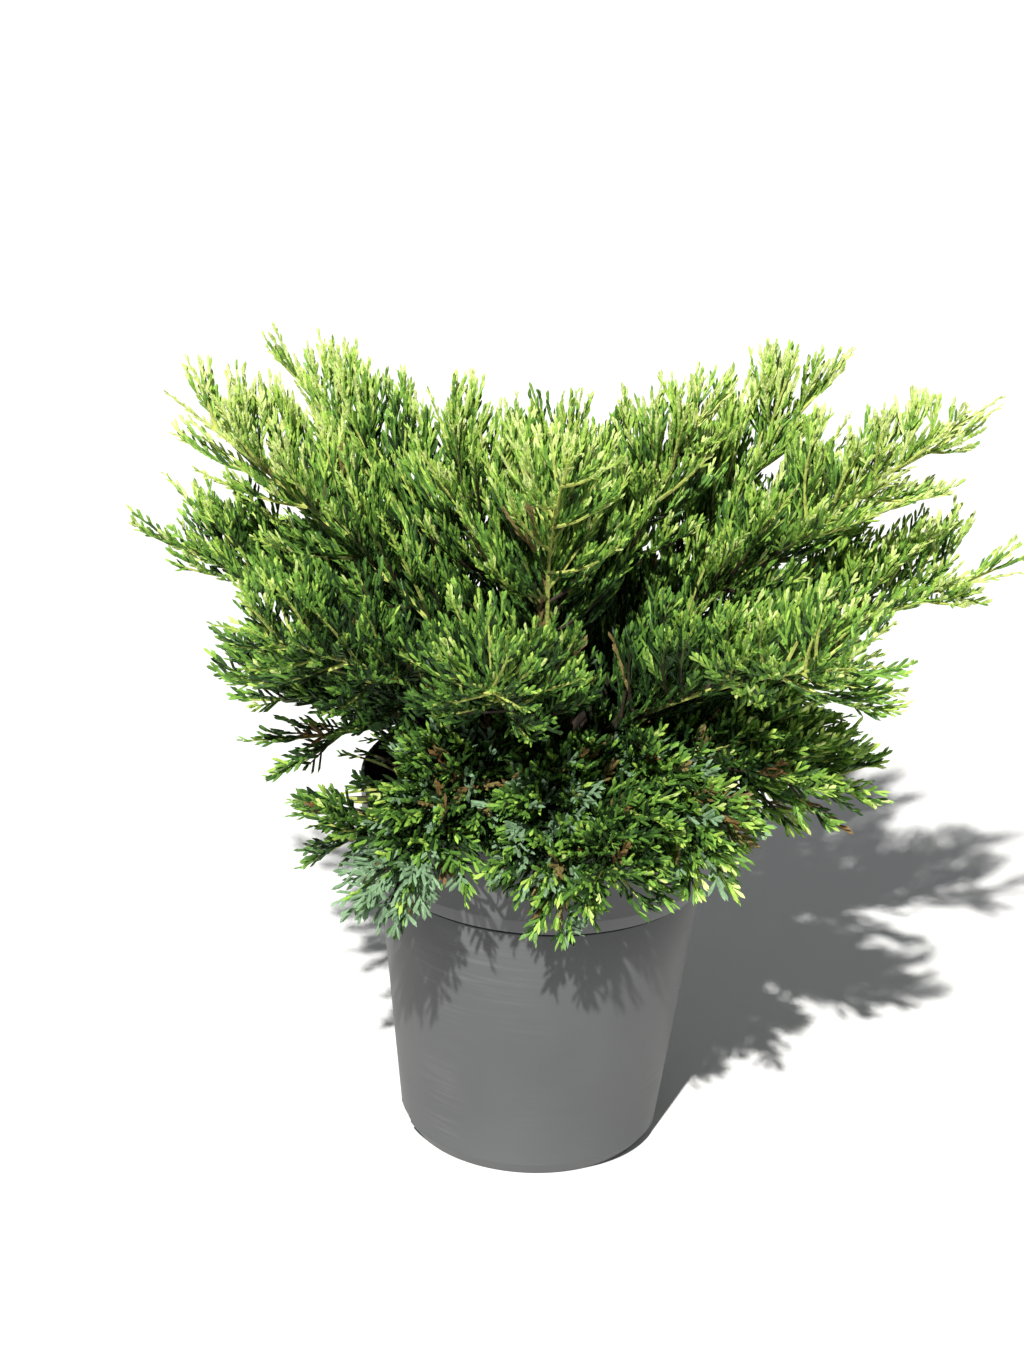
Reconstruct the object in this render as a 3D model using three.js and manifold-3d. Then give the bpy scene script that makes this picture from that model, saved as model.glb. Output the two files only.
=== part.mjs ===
// A potted andorra compact juniper: a low, spreading conifer whose boughs rise from one short trunk like
// the ribs of a shallow vase, in a round grey nursery pot. Lengths are in millimetres, +Z is up, the
// origin is the middle of the pot's flat underside, +X is to the right and -Y faces the viewer.
import * as THREE from "three";
import { mergeVertices } from "three/addons/utils/BufferGeometryUtils.js";
import Module from "manifold-3d";

const wasm = await Module();
wasm.setup();

// Pot: a thin moulded shell with a deep collar, a groove under the collar, two slots in its heel and four
// drain holes round the middle of its floor.
const POT_HEIGHT = 196;
const RIM_RADIUS = 93.5;
const COLLAR_BEVEL_TOP = 160;
const COLLAR_FOOT = 150;
const COLLAR_RADIUS = 91.3;
const COLLAR_FOOT_RADIUS = 86.5;
const SHOULDER_RADIUS = 83.5;
const GROOVE_HEIGHT = 2.4;
const GROOVE_DEPTH = 1.4;
const HEEL_HEIGHT = 8;
const HEEL_RADIUS = 66.5;
const FOOT_RADIUS = 61.5;
const RIM_ROUNDING = 1;
const POT_WALL = 2;
const FLOOR_THICKNESS = 3;
const POT_SIDES = 36;
const SLOT_WIDTH = 22;
const SLOT_HEIGHT = 8.5;
const SLOT_FOOT = 1.5;
const SLOT_TURN = 14;
const DRAIN_COUNT = 4;
const DRAIN_RADIUS = 4.5;
const DRAIN_CIRCLE = 38;
const DRAIN_SIDES = 12;

// Soil: it fills the pot to a little below the rim, and is level where the trunk stands.
const SOIL_EDGE = 176;
const SOIL_TOP = 179;
const SOIL_LEVEL_RADIUS = 24;
const GAP = 0.3;

// Trunk: a short stem with a root flare, leaning to the left, that the boughs leave at several heights.
const TRUNK_HEIGHT = 40;
const TRUNK_FLARE_RADIUS = 13.5;
const TRUNK_RADIUS = 8.2;
const TRUNK_TOP_RADIUS = 5.2;
const TRUNK_FLARE_HEIGHT = 7;
const TRUNK_LEAN = [-0.05, 0.02];
const TRUNK_SIDES = 10;
const TRUNK_RINGS = 7;
const TRUNK_CROWN = 1.5;
const FLARE_LOBES = 5;
const FLARE_LOBE_DEPTH = 0.14;
const RING_CROWDING = 1.4;

// Limbs: each runs from the trunk to its tip as one curve. The inner part is a bare bough, and the rest is
// the stem of a mass of foliage. A tier is a whorl of like limbs: how many, the azimuth of the first and the
// step to the next, the height on the trunk where they leave, the rise at the trunk and at the tip, the
// length of the curve's two handles as a share of its chord, the reach and the height of the tip, how much
// further they reach to both sides and to the right, how far they turn to the sides, the upward pull on
// their side shoots, how much lower the front ones end, as a share of their height above the rim, and the
// length of their side shoots as a share of the usual one.
// Azimuth 0 is to the right and 270 faces the viewer. Angles are in degrees.
const TIERS = [
  {
    name: "skirt", count: 7, first: 236, step: 40, onTrunk: 12, startRise: 34, tipRise: -70, handle: 0.54,
    reach: 124, tip: 177, sideSpread: 0.02, rightSpread: -0.15, sideTurn: 0, upturn: -0.25, frontDrop: -0.05,
    shootShare: 0.92,
  },
  {
    name: "low", count: 7, first: 231, step: 51, onTrunk: 18, startRise: 32, tipRise: 7, handle: 0.36,
    reach: 156, tip: 238, sideSpread: 0.02, rightSpread: 0.03, sideTurn: 4, upturn: 0, frontDrop: 0.68,
    shootShare: 1,
  },
  {
    name: "middle", count: 8, first: 172, step: 45, onTrunk: 24, startRise: 42, tipRise: 21, handle: 0.36,
    reach: 207, tip: 323, sideSpread: 0.07, rightSpread: 0.06, sideTurn: 3, upturn: 0.2, frontDrop: 0.01,
    shootShare: 1,
  },
  {
    name: "high", count: 5, first: 128, step: 72, onTrunk: 30, startRise: 56, tipRise: 41, handle: 0.36,
    reach: 161, tip: 415, sideSpread: 0.27, rightSpread: 0.02, sideTurn: 20, upturn: 0.25, frontDrop: 0,
    shootShare: 1,
  },
  {
    name: "top", count: 3, first: 180, step: -96, onTrunk: 39, startRise: 78, tipRise: 67, handle: 0.36,
    reach: 68, tip: 410, sideSpread: 0.05, rightSpread: 0.07, sideTurn: 0, upturn: 0.25, frontDrop: 0,
    shootShare: 1,
  },
];
const ROOT_OFFSET = 3.4;
const RIGHT_LIFT = 0.06;
const BACK_DROP = 0.17;
const REACH_JITTER = 0.06;
const TIP_JITTER = 9;
const AZIMUTH_JITTER = 5;
const TIP_TURN_JITTER = 16;
const LIMB_STEPS = 22;
const BOUGH_SHARE = 0.3;
const BOUGH_SIDES = 5;
const BOUGH_STEPS = 3;
const LIMB_ROOT_RADIUS = 2.1;
const LIMB_TIP_RADIUS = 0.9;

// Side shoots: taken in order from one endless series along each limb, so that a finer model can go on.
const SHOOT_COUNT = 7;
const SHOOT_FROM = 0.36;
const SHOOT_TO = 0.8;
const SHOOT_LENGTH = 92;
const SHOOT_LENGTH_JITTER = 0.18;
const SHOOT_TIP_SHARE = 0.36;
const SHOOT_TRIM = 0.86;
const SHOOT_ANGLE = 44;
const SHOOT_ANGLE_JITTER = 9;
const SHOOT_TURNS = [18, 18, 62];
const SHOOT_TURN_JITTER = 24;
const SHOOT_ROOT_RADIUS = 2.1;
const SHOOT_TIP_RADIUS = 0.9;
const SHOOT_SHORTEST = 26;
const SHOOT_STEPS = 20;
const SHOOT_FREE_STEPS = 3;
const GOLDEN_SHARE = 0.61803398875;

// Sprays: the needles stand in whorls of three pointed blades down every shoot, one whorl a pitch.
const PITCH = 18;
const SPRAY_LENGTH = 34;
const SPRAY_ANGLE = 36;
const SPRAY_ANGLE_JITTER = 5;
const SPRAY_TURN_JITTER = 24;
const SPRAY_LENGTH_JITTER = 0.22;
const BARE_SHARE = 0.08;
const SHOOT_SPRAY_TIP_SHARE = 0.5;
const WHIP_SHARE = 0.8;
const WHIP_SPRAY = 9;
const PLUME_END_SPRAY = 13;
const BLADE_TESTS = [0.1, 0.2, 0.3, 0.4, 0.5, 0.6, 0.7, 0.8, 0.9, 1];

// Room: a mass keeps to the space that is nearer to its own limb than to any other.
const SPACE_MARGIN = 2.6;
const LIMB_CLEARANCE = 1.2;
const POT_CLEARANCE = 3;
const SEED = 532;

// Colours and roughness.
const GREENS = { skirt: 0x6f9a63, low: 0x5f9148, middle: 0x76a548, high: 0x8db556, top: 0x9ac05e };
const BARK_BROWN = 0x6b4c35;
const POT_GREY = 0x77797a;
const SOIL_BROWN = 0x2e2219;
const PLASTIC_ROUGHNESS = 0.6;
const LEAF_ROUGHNESS = 0.6;
const EARTHY_ROUGHNESS = 0.9;

const UP = new THREE.Vector3(0, 0, 1);
const radians = THREE.MathUtils.degToRad;
const mix = THREE.MathUtils.lerp;

// The same number from 0 to 1 for the same four keys, whatever was drawn before.
function chance(limb, shoot, item, trait) {
  let mixed = Math.imul(limb + SEED, 374761393) ^ Math.imul(shoot + 1, 668265263);
  mixed ^= Math.imul(item + 1, 1274126177) ^ Math.imul(trait + 1, 1103515245);
  mixed = Math.imul(mixed ^ (mixed >>> 15), 739982445);
  mixed = Math.imul(mixed ^ (mixed >>> 12), 695872825);
  return ((mixed ^ (mixed >>> 15)) >>> 0) / 4294967296;
}

const jitter = (amount, ...keys) => amount * (2 * chance(...keys) - 1);

function solidFrom(geometry) {
  const bare = geometry.index ? geometry.toNonIndexed() : geometry.clone();
  const positions = new THREE.BufferGeometry().setAttribute("position", bare.getAttribute("position"));
  const merged = mergeVertices(positions, 1e-4);
  return new wasm.Manifold(
    new wasm.Mesh({
      numProp: 3,
      vertProperties: new Float32Array(merged.attributes.position.array),
      triVerts: new Uint32Array(merged.index.array),
    }),
  );
}

function geometryFrom(solid) {
  const made = solid.getMesh();
  return new THREE.BufferGeometry()
    .setAttribute("position", new THREE.BufferAttribute(made.vertProperties, 3))
    .setIndex(new THREE.BufferAttribute(made.triVerts, 1));
}

// Joins pieces into one body: the largest stays, so sealed hollows are filled and loose scraps dropped.
function joinedBody(solids) {
  const bodies = wasm.Manifold.union(solids).decompose();
  return bodies.reduce((largest, body) => (body.volume() > largest.volume() ? body : largest));
}

function named(name, geometry, color, roughness) {
  const mesh = new THREE.Mesh(geometry, new THREE.MeshStandardMaterial({ color, roughness, metalness: 0 }));
  mesh.name = name;
  return mesh;
}

// A closed geometry from points and faces that index them.
function closedGeometry(points, faces) {
  const corners = faces.flat().flatMap((index) => points[index].toArray());
  return new THREE.BufferGeometry().setAttribute("position", new THREE.Float32BufferAttribute(corners, 3));
}

// A lathe about the Z axis from an outline of [radius, height] that starts and ends on the axis.
function turned(outline, sides) {
  const lathe = new THREE.LatheGeometry(outline.map(([r, z]) => new THREE.Vector2(r, z)), sides);
  return lathe.rotateX(Math.PI / 2);
}

// The pot's outer radius at a height, without the groove and the rim's rounding.
function potRadius(height) {
  if (height > COLLAR_BEVEL_TOP) {
    const share = (height - COLLAR_BEVEL_TOP) / (POT_HEIGHT - COLLAR_BEVEL_TOP);
    return mix(COLLAR_RADIUS, RIM_RADIUS, Math.min(share, 1));
  }
  if (height > COLLAR_FOOT) {
    return mix(COLLAR_FOOT_RADIUS, COLLAR_RADIUS, (height - COLLAR_FOOT) / (COLLAR_BEVEL_TOP - COLLAR_FOOT));
  }
  return mix(HEEL_RADIUS, SHOULDER_RADIUS, Math.max(height - HEEL_HEIGHT, 0) / (COLLAR_FOOT - HEEL_HEIGHT));
}

function potShell() {
  const grooveFoot = COLLAR_FOOT - GROOVE_HEIGHT;
  const outline = [
    [0, 0],
    [FOOT_RADIUS, 0],
    [HEEL_RADIUS, HEEL_HEIGHT],
    [potRadius(grooveFoot), grooveFoot],
    [potRadius(grooveFoot) - GROOVE_DEPTH, grooveFoot + GROOVE_HEIGHT / 2],
    [COLLAR_FOOT_RADIUS, COLLAR_FOOT],
    [COLLAR_RADIUS, COLLAR_BEVEL_TOP],
    [RIM_RADIUS, POT_HEIGHT - RIM_ROUNDING],
    [RIM_RADIUS - RIM_ROUNDING / 2, POT_HEIGHT],
    [RIM_RADIUS - POT_WALL, POT_HEIGHT],
    [COLLAR_RADIUS - POT_WALL, COLLAR_BEVEL_TOP],
    [SHOULDER_RADIUS - GROOVE_DEPTH - POT_WALL, grooveFoot - 2],
    [HEEL_RADIUS - POT_WALL, HEEL_HEIGHT],
    [FOOT_RADIUS - POT_WALL, FLOOR_THICKNESS],
    [0, FLOOR_THICKNESS],
  ];
  let shell = solidFrom(turned(outline, POT_SIDES));
  for (const side of [-1, 1]) {
    const slot = new THREE.BoxGeometry(SLOT_HEIGHT * 2, SLOT_WIDTH, SLOT_HEIGHT);
    slot.translate(side * HEEL_RADIUS, 0, SLOT_FOOT + SLOT_HEIGHT / 2).rotateZ(radians(SLOT_TURN));
    shell = shell.subtract(solidFrom(slot));
  }
  for (let hole = 0; hole < DRAIN_COUNT; hole++) {
    const angle = ((hole + 0.5) / DRAIN_COUNT) * 2 * Math.PI;
    const drain = new THREE.CylinderGeometry(DRAIN_RADIUS, DRAIN_RADIUS, 4 * FLOOR_THICKNESS, DRAIN_SIDES)
      .rotateX(Math.PI / 2)
      .translate(DRAIN_CIRCLE * Math.cos(angle), DRAIN_CIRCLE * Math.sin(angle), 0);
    shell = shell.subtract(solidFrom(drain));
  }
  return geometryFrom(shell);
}

function soilBody() {
  const throat = SHOULDER_RADIUS - GROOVE_DEPTH - POT_WALL - GAP;
  const outline = [
    [0, FLOOR_THICKNESS + GAP],
    [FOOT_RADIUS - POT_WALL - 2 * GAP, FLOOR_THICKNESS + GAP],
    [HEEL_RADIUS - POT_WALL - GAP, HEEL_HEIGHT],
    [throat, COLLAR_FOOT - GROOVE_HEIGHT - 2],
    [COLLAR_RADIUS - POT_WALL - GAP, COLLAR_BEVEL_TOP + GAP],
    [potRadius(SOIL_EDGE) - POT_WALL - GAP, SOIL_EDGE],
    [SOIL_LEVEL_RADIUS, SOIL_TOP],
    [0, SOIL_TOP],
  ];
  return turned(outline, POT_SIDES);
}

// The trunk's axis at a height above the soil, and its radius there before the flare's lobes.
function trunkAxis(above) {
  return new THREE.Vector3(TRUNK_LEAN[0] * above, TRUNK_LEAN[1] * above, SOIL_TOP + GAP + above);
}

function trunkRadius(above) {
  const stem = mix(TRUNK_RADIUS, TRUNK_TOP_RADIUS, above / TRUNK_HEIGHT);
  return stem + (TRUNK_FLARE_RADIUS - TRUNK_RADIUS) * Math.exp((-2 * above) / TRUNK_FLARE_HEIGHT);
}

// The trunk as a closed geometry, or its shape grown outward, to cut the room that it needs.
function trunkGeometry(grown = 0) {
  const points = [];
  const faces = [];
  for (let ring = 0; ring <= TRUNK_RINGS; ring++) {
    const above = TRUNK_HEIGHT * (ring / TRUNK_RINGS) ** RING_CROWDING;
    const lobe = FLARE_LOBE_DEPTH * Math.exp(-above / TRUNK_FLARE_HEIGHT);
    for (let side = 0; side < TRUNK_SIDES; side++) {
      const angle = (side / TRUNK_SIDES) * 2 * Math.PI;
      const radius = trunkRadius(above) * (1 + lobe * Math.cos(FLARE_LOBES * angle)) + grown;
      const level = new THREE.Vector3(radius * Math.cos(angle), radius * Math.sin(angle), 0);
      points.push(level.add(trunkAxis(above)));
    }
  }
  const foot = points.push(trunkAxis(0)) - 1;
  const crest = points.push(trunkAxis(TRUNK_HEIGHT + TRUNK_CROWN + grown)) - 1;
  for (let side = 0; side < TRUNK_SIDES; side++) {
    const next = (side + 1) % TRUNK_SIDES;
    for (let ring = 0; ring < TRUNK_RINGS; ring++) {
      const low = ring * TRUNK_SIDES;
      const high = low + TRUNK_SIDES;
      faces.push([low + side, low + next, high + next], [low + side, high + next, high + side]);
    }
    const last = TRUNK_RINGS * TRUNK_SIDES;
    faces.push([foot, next, side], [crest, last + side, last + next]);
  }
  return closedGeometry(points, faces);
}

// A unit vector from an azimuth and a rise in degrees.
function heading(azimuth, rise) {
  const a = radians(azimuth);
  const e = radians(rise);
  return new THREE.Vector3(Math.cos(a) * Math.cos(e), Math.sin(a) * Math.cos(e), Math.sin(e));
}

// Every limb, worked out from its tier and its place round the trunk.
function growLimbs() {
  const limbs = [];
  for (const tier of TIERS) {
    for (let k = 0; k < tier.count; k++) {
      const id = limbs.length;
      const even = tier.first + k * tier.step;
      const turnedAside = tier.sideTurn * Math.sin(radians(2 * even));
      const azimuth = even - turnedAside + jitter(AZIMUTH_JITTER, id, 0, 0, 0);
      const rightward = Math.cos(radians(azimuth));
      const backward = Math.sin(radians(azimuth));
      const sideways = rightward ** 2 - backward ** 2;
      const spread = 1 + tier.sideSpread * sideways + tier.rightSpread * rightward;
      const reach = tier.reach * spread * (1 + jitter(REACH_JITTER, id, 0, 0, 1));
      const root = trunkAxis(tier.onTrunk).addScaledVector(heading(azimuth, 0), ROOT_OFFSET);
      const tip = heading(azimuth, 0).multiplyScalar(reach);
      const drop = backward > 0 ? BACK_DROP * backward : tier.frontDrop * -backward;
      const aboveRim = Math.max(0, tier.tip - POT_HEIGHT);
      tip.z = tier.tip + (RIGHT_LIFT * rightward - drop) * aboveRim + jitter(TIP_JITTER, id, 0, 0, 2);
      const handle = root.distanceTo(tip) * tier.handle;
      const tipTurn = jitter(TIP_TURN_JITTER, id, 0, 0, 3);
      const curve = new THREE.CubicBezierCurve3(
        root,
        root.clone().addScaledVector(heading(azimuth, tier.startRise), handle),
        tip.clone().addScaledVector(heading(azimuth + tipTurn, tier.tipRise), -handle),
        tip,
      );
      limbs.push({ id, tier, curve, length: curve.getLength(), name: `${tier.name}_${k + 1}` });
    }
  }
  for (const limb of limbs) limb.samples = limb.curve.getSpacedPoints(LIMB_STEPS);
  return limbs;
}

const limbs = growLimbs();

const limbRadius = (share) => mix(LIMB_ROOT_RADIUS, LIMB_TIP_RADIUS, share);

// The distance from a point to a limb's line, with the limb's radius where it is nearest.
const nearLine = new THREE.Line3();
const nearPoint = new THREE.Vector3();
function distanceToLimb(point, limb) {
  let best = { distance: Infinity, radius: 0 };
  for (let k = 0; k < LIMB_STEPS; k++) {
    nearLine.set(limb.samples[k], limb.samples[k + 1]);
    nearLine.closestPointToPoint(point, true, nearPoint);
    const distance = nearPoint.distanceTo(point);
    if (distance < best.distance) best = { distance, radius: limbRadius(k / LIMB_STEPS) };
  }
  return best;
}

// True where a point is outside the pot's wall and above the soil and the trunk.
function clearOfPot(point) {
  if (point.z > POT_HEIGHT + POT_CLEARANCE) return true;
  const out = Math.hypot(point.x, point.y);
  if (out > potRadius(point.z) + POT_CLEARANCE) return point.z > POT_CLEARANCE;
  return out < RIM_RADIUS - POT_WALL - 2 * POT_CLEARANCE && point.z > SOIL_TOP + POT_CLEARANCE;
}

// True where a point belongs to this limb's own space and touches nothing else.
function hasRoom(point, limb) {
  if (!clearOfPot(point)) return false;
  const own = distanceToLimb(point, limb).distance;
  return limbs.every((other) => {
    if (other === limb) return true;
    const there = distanceToLimb(point, other);
    return there.distance - own > SPACE_MARGIN && there.distance > there.radius + LIMB_CLEARANCE;
  });
}

// Axes across a line's direction: one level, the other upward.
function crossAxes(along) {
  const level = new THREE.Vector3().crossVectors(along, UP);
  if (level.lengthSq() < 1e-6) level.set(1, 0, 0);
  level.normalize();
  return { level, upward: new THREE.Vector3().crossVectors(level, along).normalize() };
}

const around = ({ level, upward }, angle) =>
  level.clone().multiplyScalar(Math.cos(angle)).addScaledVector(upward, Math.sin(angle));

// A tapering limb with flat ends between two shares of a curve.
function limbGeometry(limb, from, to, sides, steps) {
  const points = [];
  const faces = [];
  for (let ring = 0; ring <= steps; ring++) {
    const share = mix(from, to, ring / steps);
    const centre = limb.curve.getPointAt(share);
    const axes = crossAxes(limb.curve.getTangentAt(share));
    for (let side = 0; side < sides; side++) {
      const angle = (side / sides) * 2 * Math.PI;
      points.push(centre.clone().addScaledVector(around(axes, angle), limbRadius(share)));
    }
  }
  for (let ring = 0; ring < steps; ring++) {
    for (let side = 0; side < sides; side++) {
      const next = (side + 1) % sides;
      const a = ring * sides;
      faces.push([a + side, a + next, a + sides + next], [a + side, a + sides + next, a + sides + side]);
    }
  }
  const end = steps * sides;
  for (let side = 1; side < sides - 1; side++) {
    faces.push([0, side + 1, side], [end, end + side, end + side + 1]);
  }
  return outward(points, faces);
}

// The same faces, all turned to point out.
function outward(points, faces) {
  const volume = faces.reduce(
    (sum, [a, b, c]) => sum + points[a].dot(new THREE.Vector3().crossVectors(points[b], points[c])),
    0,
  );
  return closedGeometry(points, volume < 0 ? faces.map(([a, b, c]) => [a, c, b]) : faces);
}

// A shoot: a slim three-sided stem that ends in a point, with a whorl of three blades on each pitch. A blade
// takes the place of one side of the stem: four faces that meet in a point, outward and forward.
function shootGeometry(curve, length, radiusAt, limb, shoot, bladeLength) {
  const whorls = Math.max(2, Math.round(length / PITCH));
  const points = [];
  const faces = [];
  const turn = chance(limb.id, shoot, 0, 5) * 2 * Math.PI;
  const rings = [];
  for (let ring = 0; ring <= whorls; ring++) {
    const share = ring / whorls;
    const centre = curve.getPointAt(share);
    const along = curve.getTangentAt(share);
    const axes = crossAxes(along);
    rings.push({ centre, along, axes, share });
    if (ring === whorls) break;
    for (let side = 0; side < 3; side++) {
      const angle = turn + (side / 3) * 2 * Math.PI;
      points.push(centre.clone().addScaledVector(around(axes, angle), radiusAt(share)));
    }
  }
  const tip = points.push(rings[whorls].centre) - 1;
  faces.push([0, 2, 1]);
  for (let whorl = 0; whorl < whorls; whorl++) {
    const a = whorl * 3;
    for (let side = 0; side < 3; side++) {
      const next = (side + 1) % 3;
      if (whorl === whorls - 1) {
        faces.push([a + side, a + next, tip]);
        continue;
      }
      const corners = [a + side, a + next, a + 3 + next, a + 3 + side];
      const blade = bladeTip(corners, points, rings[whorl], turn, whorl, side);
      if (blade) {
        const apex = points.push(blade) - 1;
        corners.forEach((corner, k) => faces.push([corner, corners[(k + 1) % 4], apex]));
      } else {
        faces.push([corners[0], corners[1], corners[2]], [corners[0], corners[2], corners[3]]);
      }
    }
  }
  return outward(points, faces);

  // The point of the blade on one side of a whorl, or null where it has no room.
  function bladeTip(corners, from, ring, startAngle, whorl, side) {
    const share = ring.share;
    if (share < BARE_SHARE) return null;
    const keys = [limb.id, shoot, whorl * 3 + side];
    const long = bladeLength(share) * (1 + jitter(SPRAY_LENGTH_JITTER, ...keys, 6));
    const middle = new THREE.Vector3();
    corners.forEach((corner) => middle.addScaledVector(from[corner], 0.25));
    const turn = radians(jitter(SPRAY_TURN_JITTER, ...keys, 7));
    const angle = startAngle + ((side + 0.5) / 3) * 2 * Math.PI + turn;
    const lean = radians(SPRAY_ANGLE + jitter(SPRAY_ANGLE_JITTER, ...keys, 8));
    const way = ring.along.clone().multiplyScalar(Math.cos(lean));
    way.addScaledVector(around(ring.axes, angle), Math.sin(lean));
    const apex = middle.clone().addScaledVector(way, long);
    const inRoom = BLADE_TESTS.every((reach) => hasRoom(middle.clone().lerp(apex, reach), limb));
    const offPot = corners.every((corner) =>
      BLADE_TESTS.every((reach) => clearOfPot(from[corner].clone().lerp(apex, reach))),
    );
    return inRoom && offPot ? apex : null;
  }
}

// The line of a limb's side shoot: it leaves forward to one side, then turns along the limb and up.
function shootLine(limb, shoot) {
  const place = (chance(limb.id, 0, 0, 4) + shoot * GOLDEN_SHARE) % 1;
  const share = mix(SHOOT_FROM, SHOOT_TO, place);
  const start = limb.curve.getPointAt(share);
  const along = limb.curve.getTangentAt(share);
  const turn = SHOOT_TURNS[shoot % 3] + jitter(SHOOT_TURN_JITTER, limb.id, shoot, 0, 9);
  const angle = radians(shoot % 2 ? 180 - turn : turn);
  const lean = radians(SHOOT_ANGLE + jitter(SHOOT_ANGLE_JITTER, limb.id, shoot, 0, 10));
  const side = around(crossAxes(along), angle);
  const first = along.clone().multiplyScalar(Math.cos(lean)).addScaledVector(side, Math.sin(lean));
  const last = first.clone().add(along).addScaledVector(UP, limb.tier.upturn).normalize();
  const natural = SHOOT_LENGTH * (1 + jitter(SHOOT_LENGTH_JITTER, limb.id, shoot, 0, 11));
  const full = limb.tier.shootShare * natural * mix(1, SHOOT_TIP_SHARE, place);
  for (let length = full; length >= SHOOT_SHORTEST; length *= SHOOT_TRIM) {
    const bend = start.clone().addScaledVector(first, length * 0.5);
    const end = bend.clone().addScaledVector(last, length * 0.5);
    const curve = new THREE.QuadraticBezierCurve3(start, bend, end);
    const onWay = curve.getSpacedPoints(SHOOT_STEPS);
    const offPot = onWay.every(clearOfPot);
    const inRoom = onWay.slice(SHOOT_FREE_STEPS).every((point) => hasRoom(point, limb));
    if (offPot && inRoom) return { curve, length: curve.getLength() };
  }
  return null;
}

// The limb's outer part as a curve of its own, for the leading shoot.
class OuterCurve extends THREE.Curve {
  constructor(curve, from) {
    super();
    this.curve = curve;
    this.from = from;
  }
  getPoint(share, target = new THREE.Vector3()) {
    return target.copy(this.curve.getPointAt(mix(this.from, 1, share)));
  }
}

// The length of a blade on the leading shoot: long in the plume, and short on the whip at its end.
function leaderBlade(share) {
  if (share > WHIP_SHARE) return mix(WHIP_SPRAY, WHIP_SPRAY / 2, (share - WHIP_SHARE) / (1 - WHIP_SHARE));
  return mix(SPRAY_LENGTH, PLUME_END_SPRAY, share / WHIP_SHARE);
}

// A mass: the leading shoot from a share of the limb onward, with the side shoots that find room.
function foliageMass(limb, from) {
  const outer = new OuterCurve(limb.curve, from);
  const leader = shootGeometry(
    outer,
    limb.length * (1 - from),
    (share) => limbRadius(mix(from, 1, share)),
    limb,
    0,
    leaderBlade,
  );
  const parts = [solidFrom(leader)];
  for (let shoot = 1; shoot <= SHOOT_COUNT; shoot++) {
    const line = shootLine(limb, shoot);
    if (!line) continue;
    const radiusAt = (share) => mix(SHOOT_ROOT_RADIUS, SHOOT_TIP_RADIUS, share);
    const bladeAt = (share) => SPRAY_LENGTH * mix(1, SHOOT_SPRAY_TIP_SHARE, share);
    parts.push(solidFrom(shootGeometry(line.curve, line.length, radiusAt, limb, shoot, bladeAt)));
  }
  return joinedBody(parts);
}

const juniper = new THREE.Group();
juniper.add(named("pot", potShell(), POT_GREY, PLASTIC_ROUGHNESS));
juniper.add(named("soil", soilBody(), SOIL_BROWN, EARTHY_ROUGHNESS));
juniper.add(named("trunk", trunkGeometry(), BARK_BROWN, EARTHY_ROUGHNESS));

const trunkRoom = solidFrom(trunkGeometry(GAP));
for (const limb of limbs) {
  if (limb.tier.name === "top") {
    const mass = joinedBody([foliageMass(limb, 0).subtract(trunkRoom)]);
    juniper.add(named(`foliage_${limb.name}`, geometryFrom(mass), GREENS.top, LEAF_ROUGHNESS));
    continue;
  }
  const bough = solidFrom(limbGeometry(limb, 0, BOUGH_SHARE, BOUGH_SIDES, BOUGH_STEPS));
  const seated = joinedBody([bough.subtract(trunkRoom)]);
  juniper.add(named(`bough_${limb.name}`, geometryFrom(seated), BARK_BROWN, EARTHY_ROUGHNESS));
  const mass = foliageMass(limb, BOUGH_SHARE + GAP / limb.length);
  juniper.add(named(`foliage_${limb.name}`, geometryFrom(mass), GREENS[limb.tier.name], LEAF_ROUGHNESS));
}

export default juniper;
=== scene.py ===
import functools
import math

import bmesh
import bpy
import numpy as np
from bpy.props import FloatProperty, FloatVectorProperty, IntProperty, PointerProperty
from bpy.types import Operator, Panel, PropertyGroup
from mathutils import Matrix, Vector, noise


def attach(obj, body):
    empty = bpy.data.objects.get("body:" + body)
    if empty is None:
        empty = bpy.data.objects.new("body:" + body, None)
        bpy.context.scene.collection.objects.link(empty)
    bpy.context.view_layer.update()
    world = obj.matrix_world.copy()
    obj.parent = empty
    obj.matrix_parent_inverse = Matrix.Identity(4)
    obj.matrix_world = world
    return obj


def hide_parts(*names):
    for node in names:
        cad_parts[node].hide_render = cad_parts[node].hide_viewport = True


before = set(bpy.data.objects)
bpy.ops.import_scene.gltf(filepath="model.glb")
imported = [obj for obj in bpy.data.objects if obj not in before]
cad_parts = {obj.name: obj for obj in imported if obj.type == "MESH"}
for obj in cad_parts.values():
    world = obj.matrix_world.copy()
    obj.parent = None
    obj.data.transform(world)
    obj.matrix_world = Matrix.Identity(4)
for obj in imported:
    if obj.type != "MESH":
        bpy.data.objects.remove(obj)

bl_info = {
    "name": "Potted andorra compact juniper",
    "version": (1, 0, 0),
    "blender": (4, 5, 0),
    "location": "3D View > Sidebar > Juniper",
    "description": "Dresses the frame of a potted spreading juniper: pot, soil, bark, twigs and sprays",
    "category": "Object",
}

# Lengths below are in millimetres and angles in degrees, as in the frame's own source, except where a
# comment says otherwise. +Z is up, +X is to the right and -Y faces the viewer. Meshes are made in metres.
MM = 0.001
UP = np.array([0.0, 0.0, 1.0])

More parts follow.
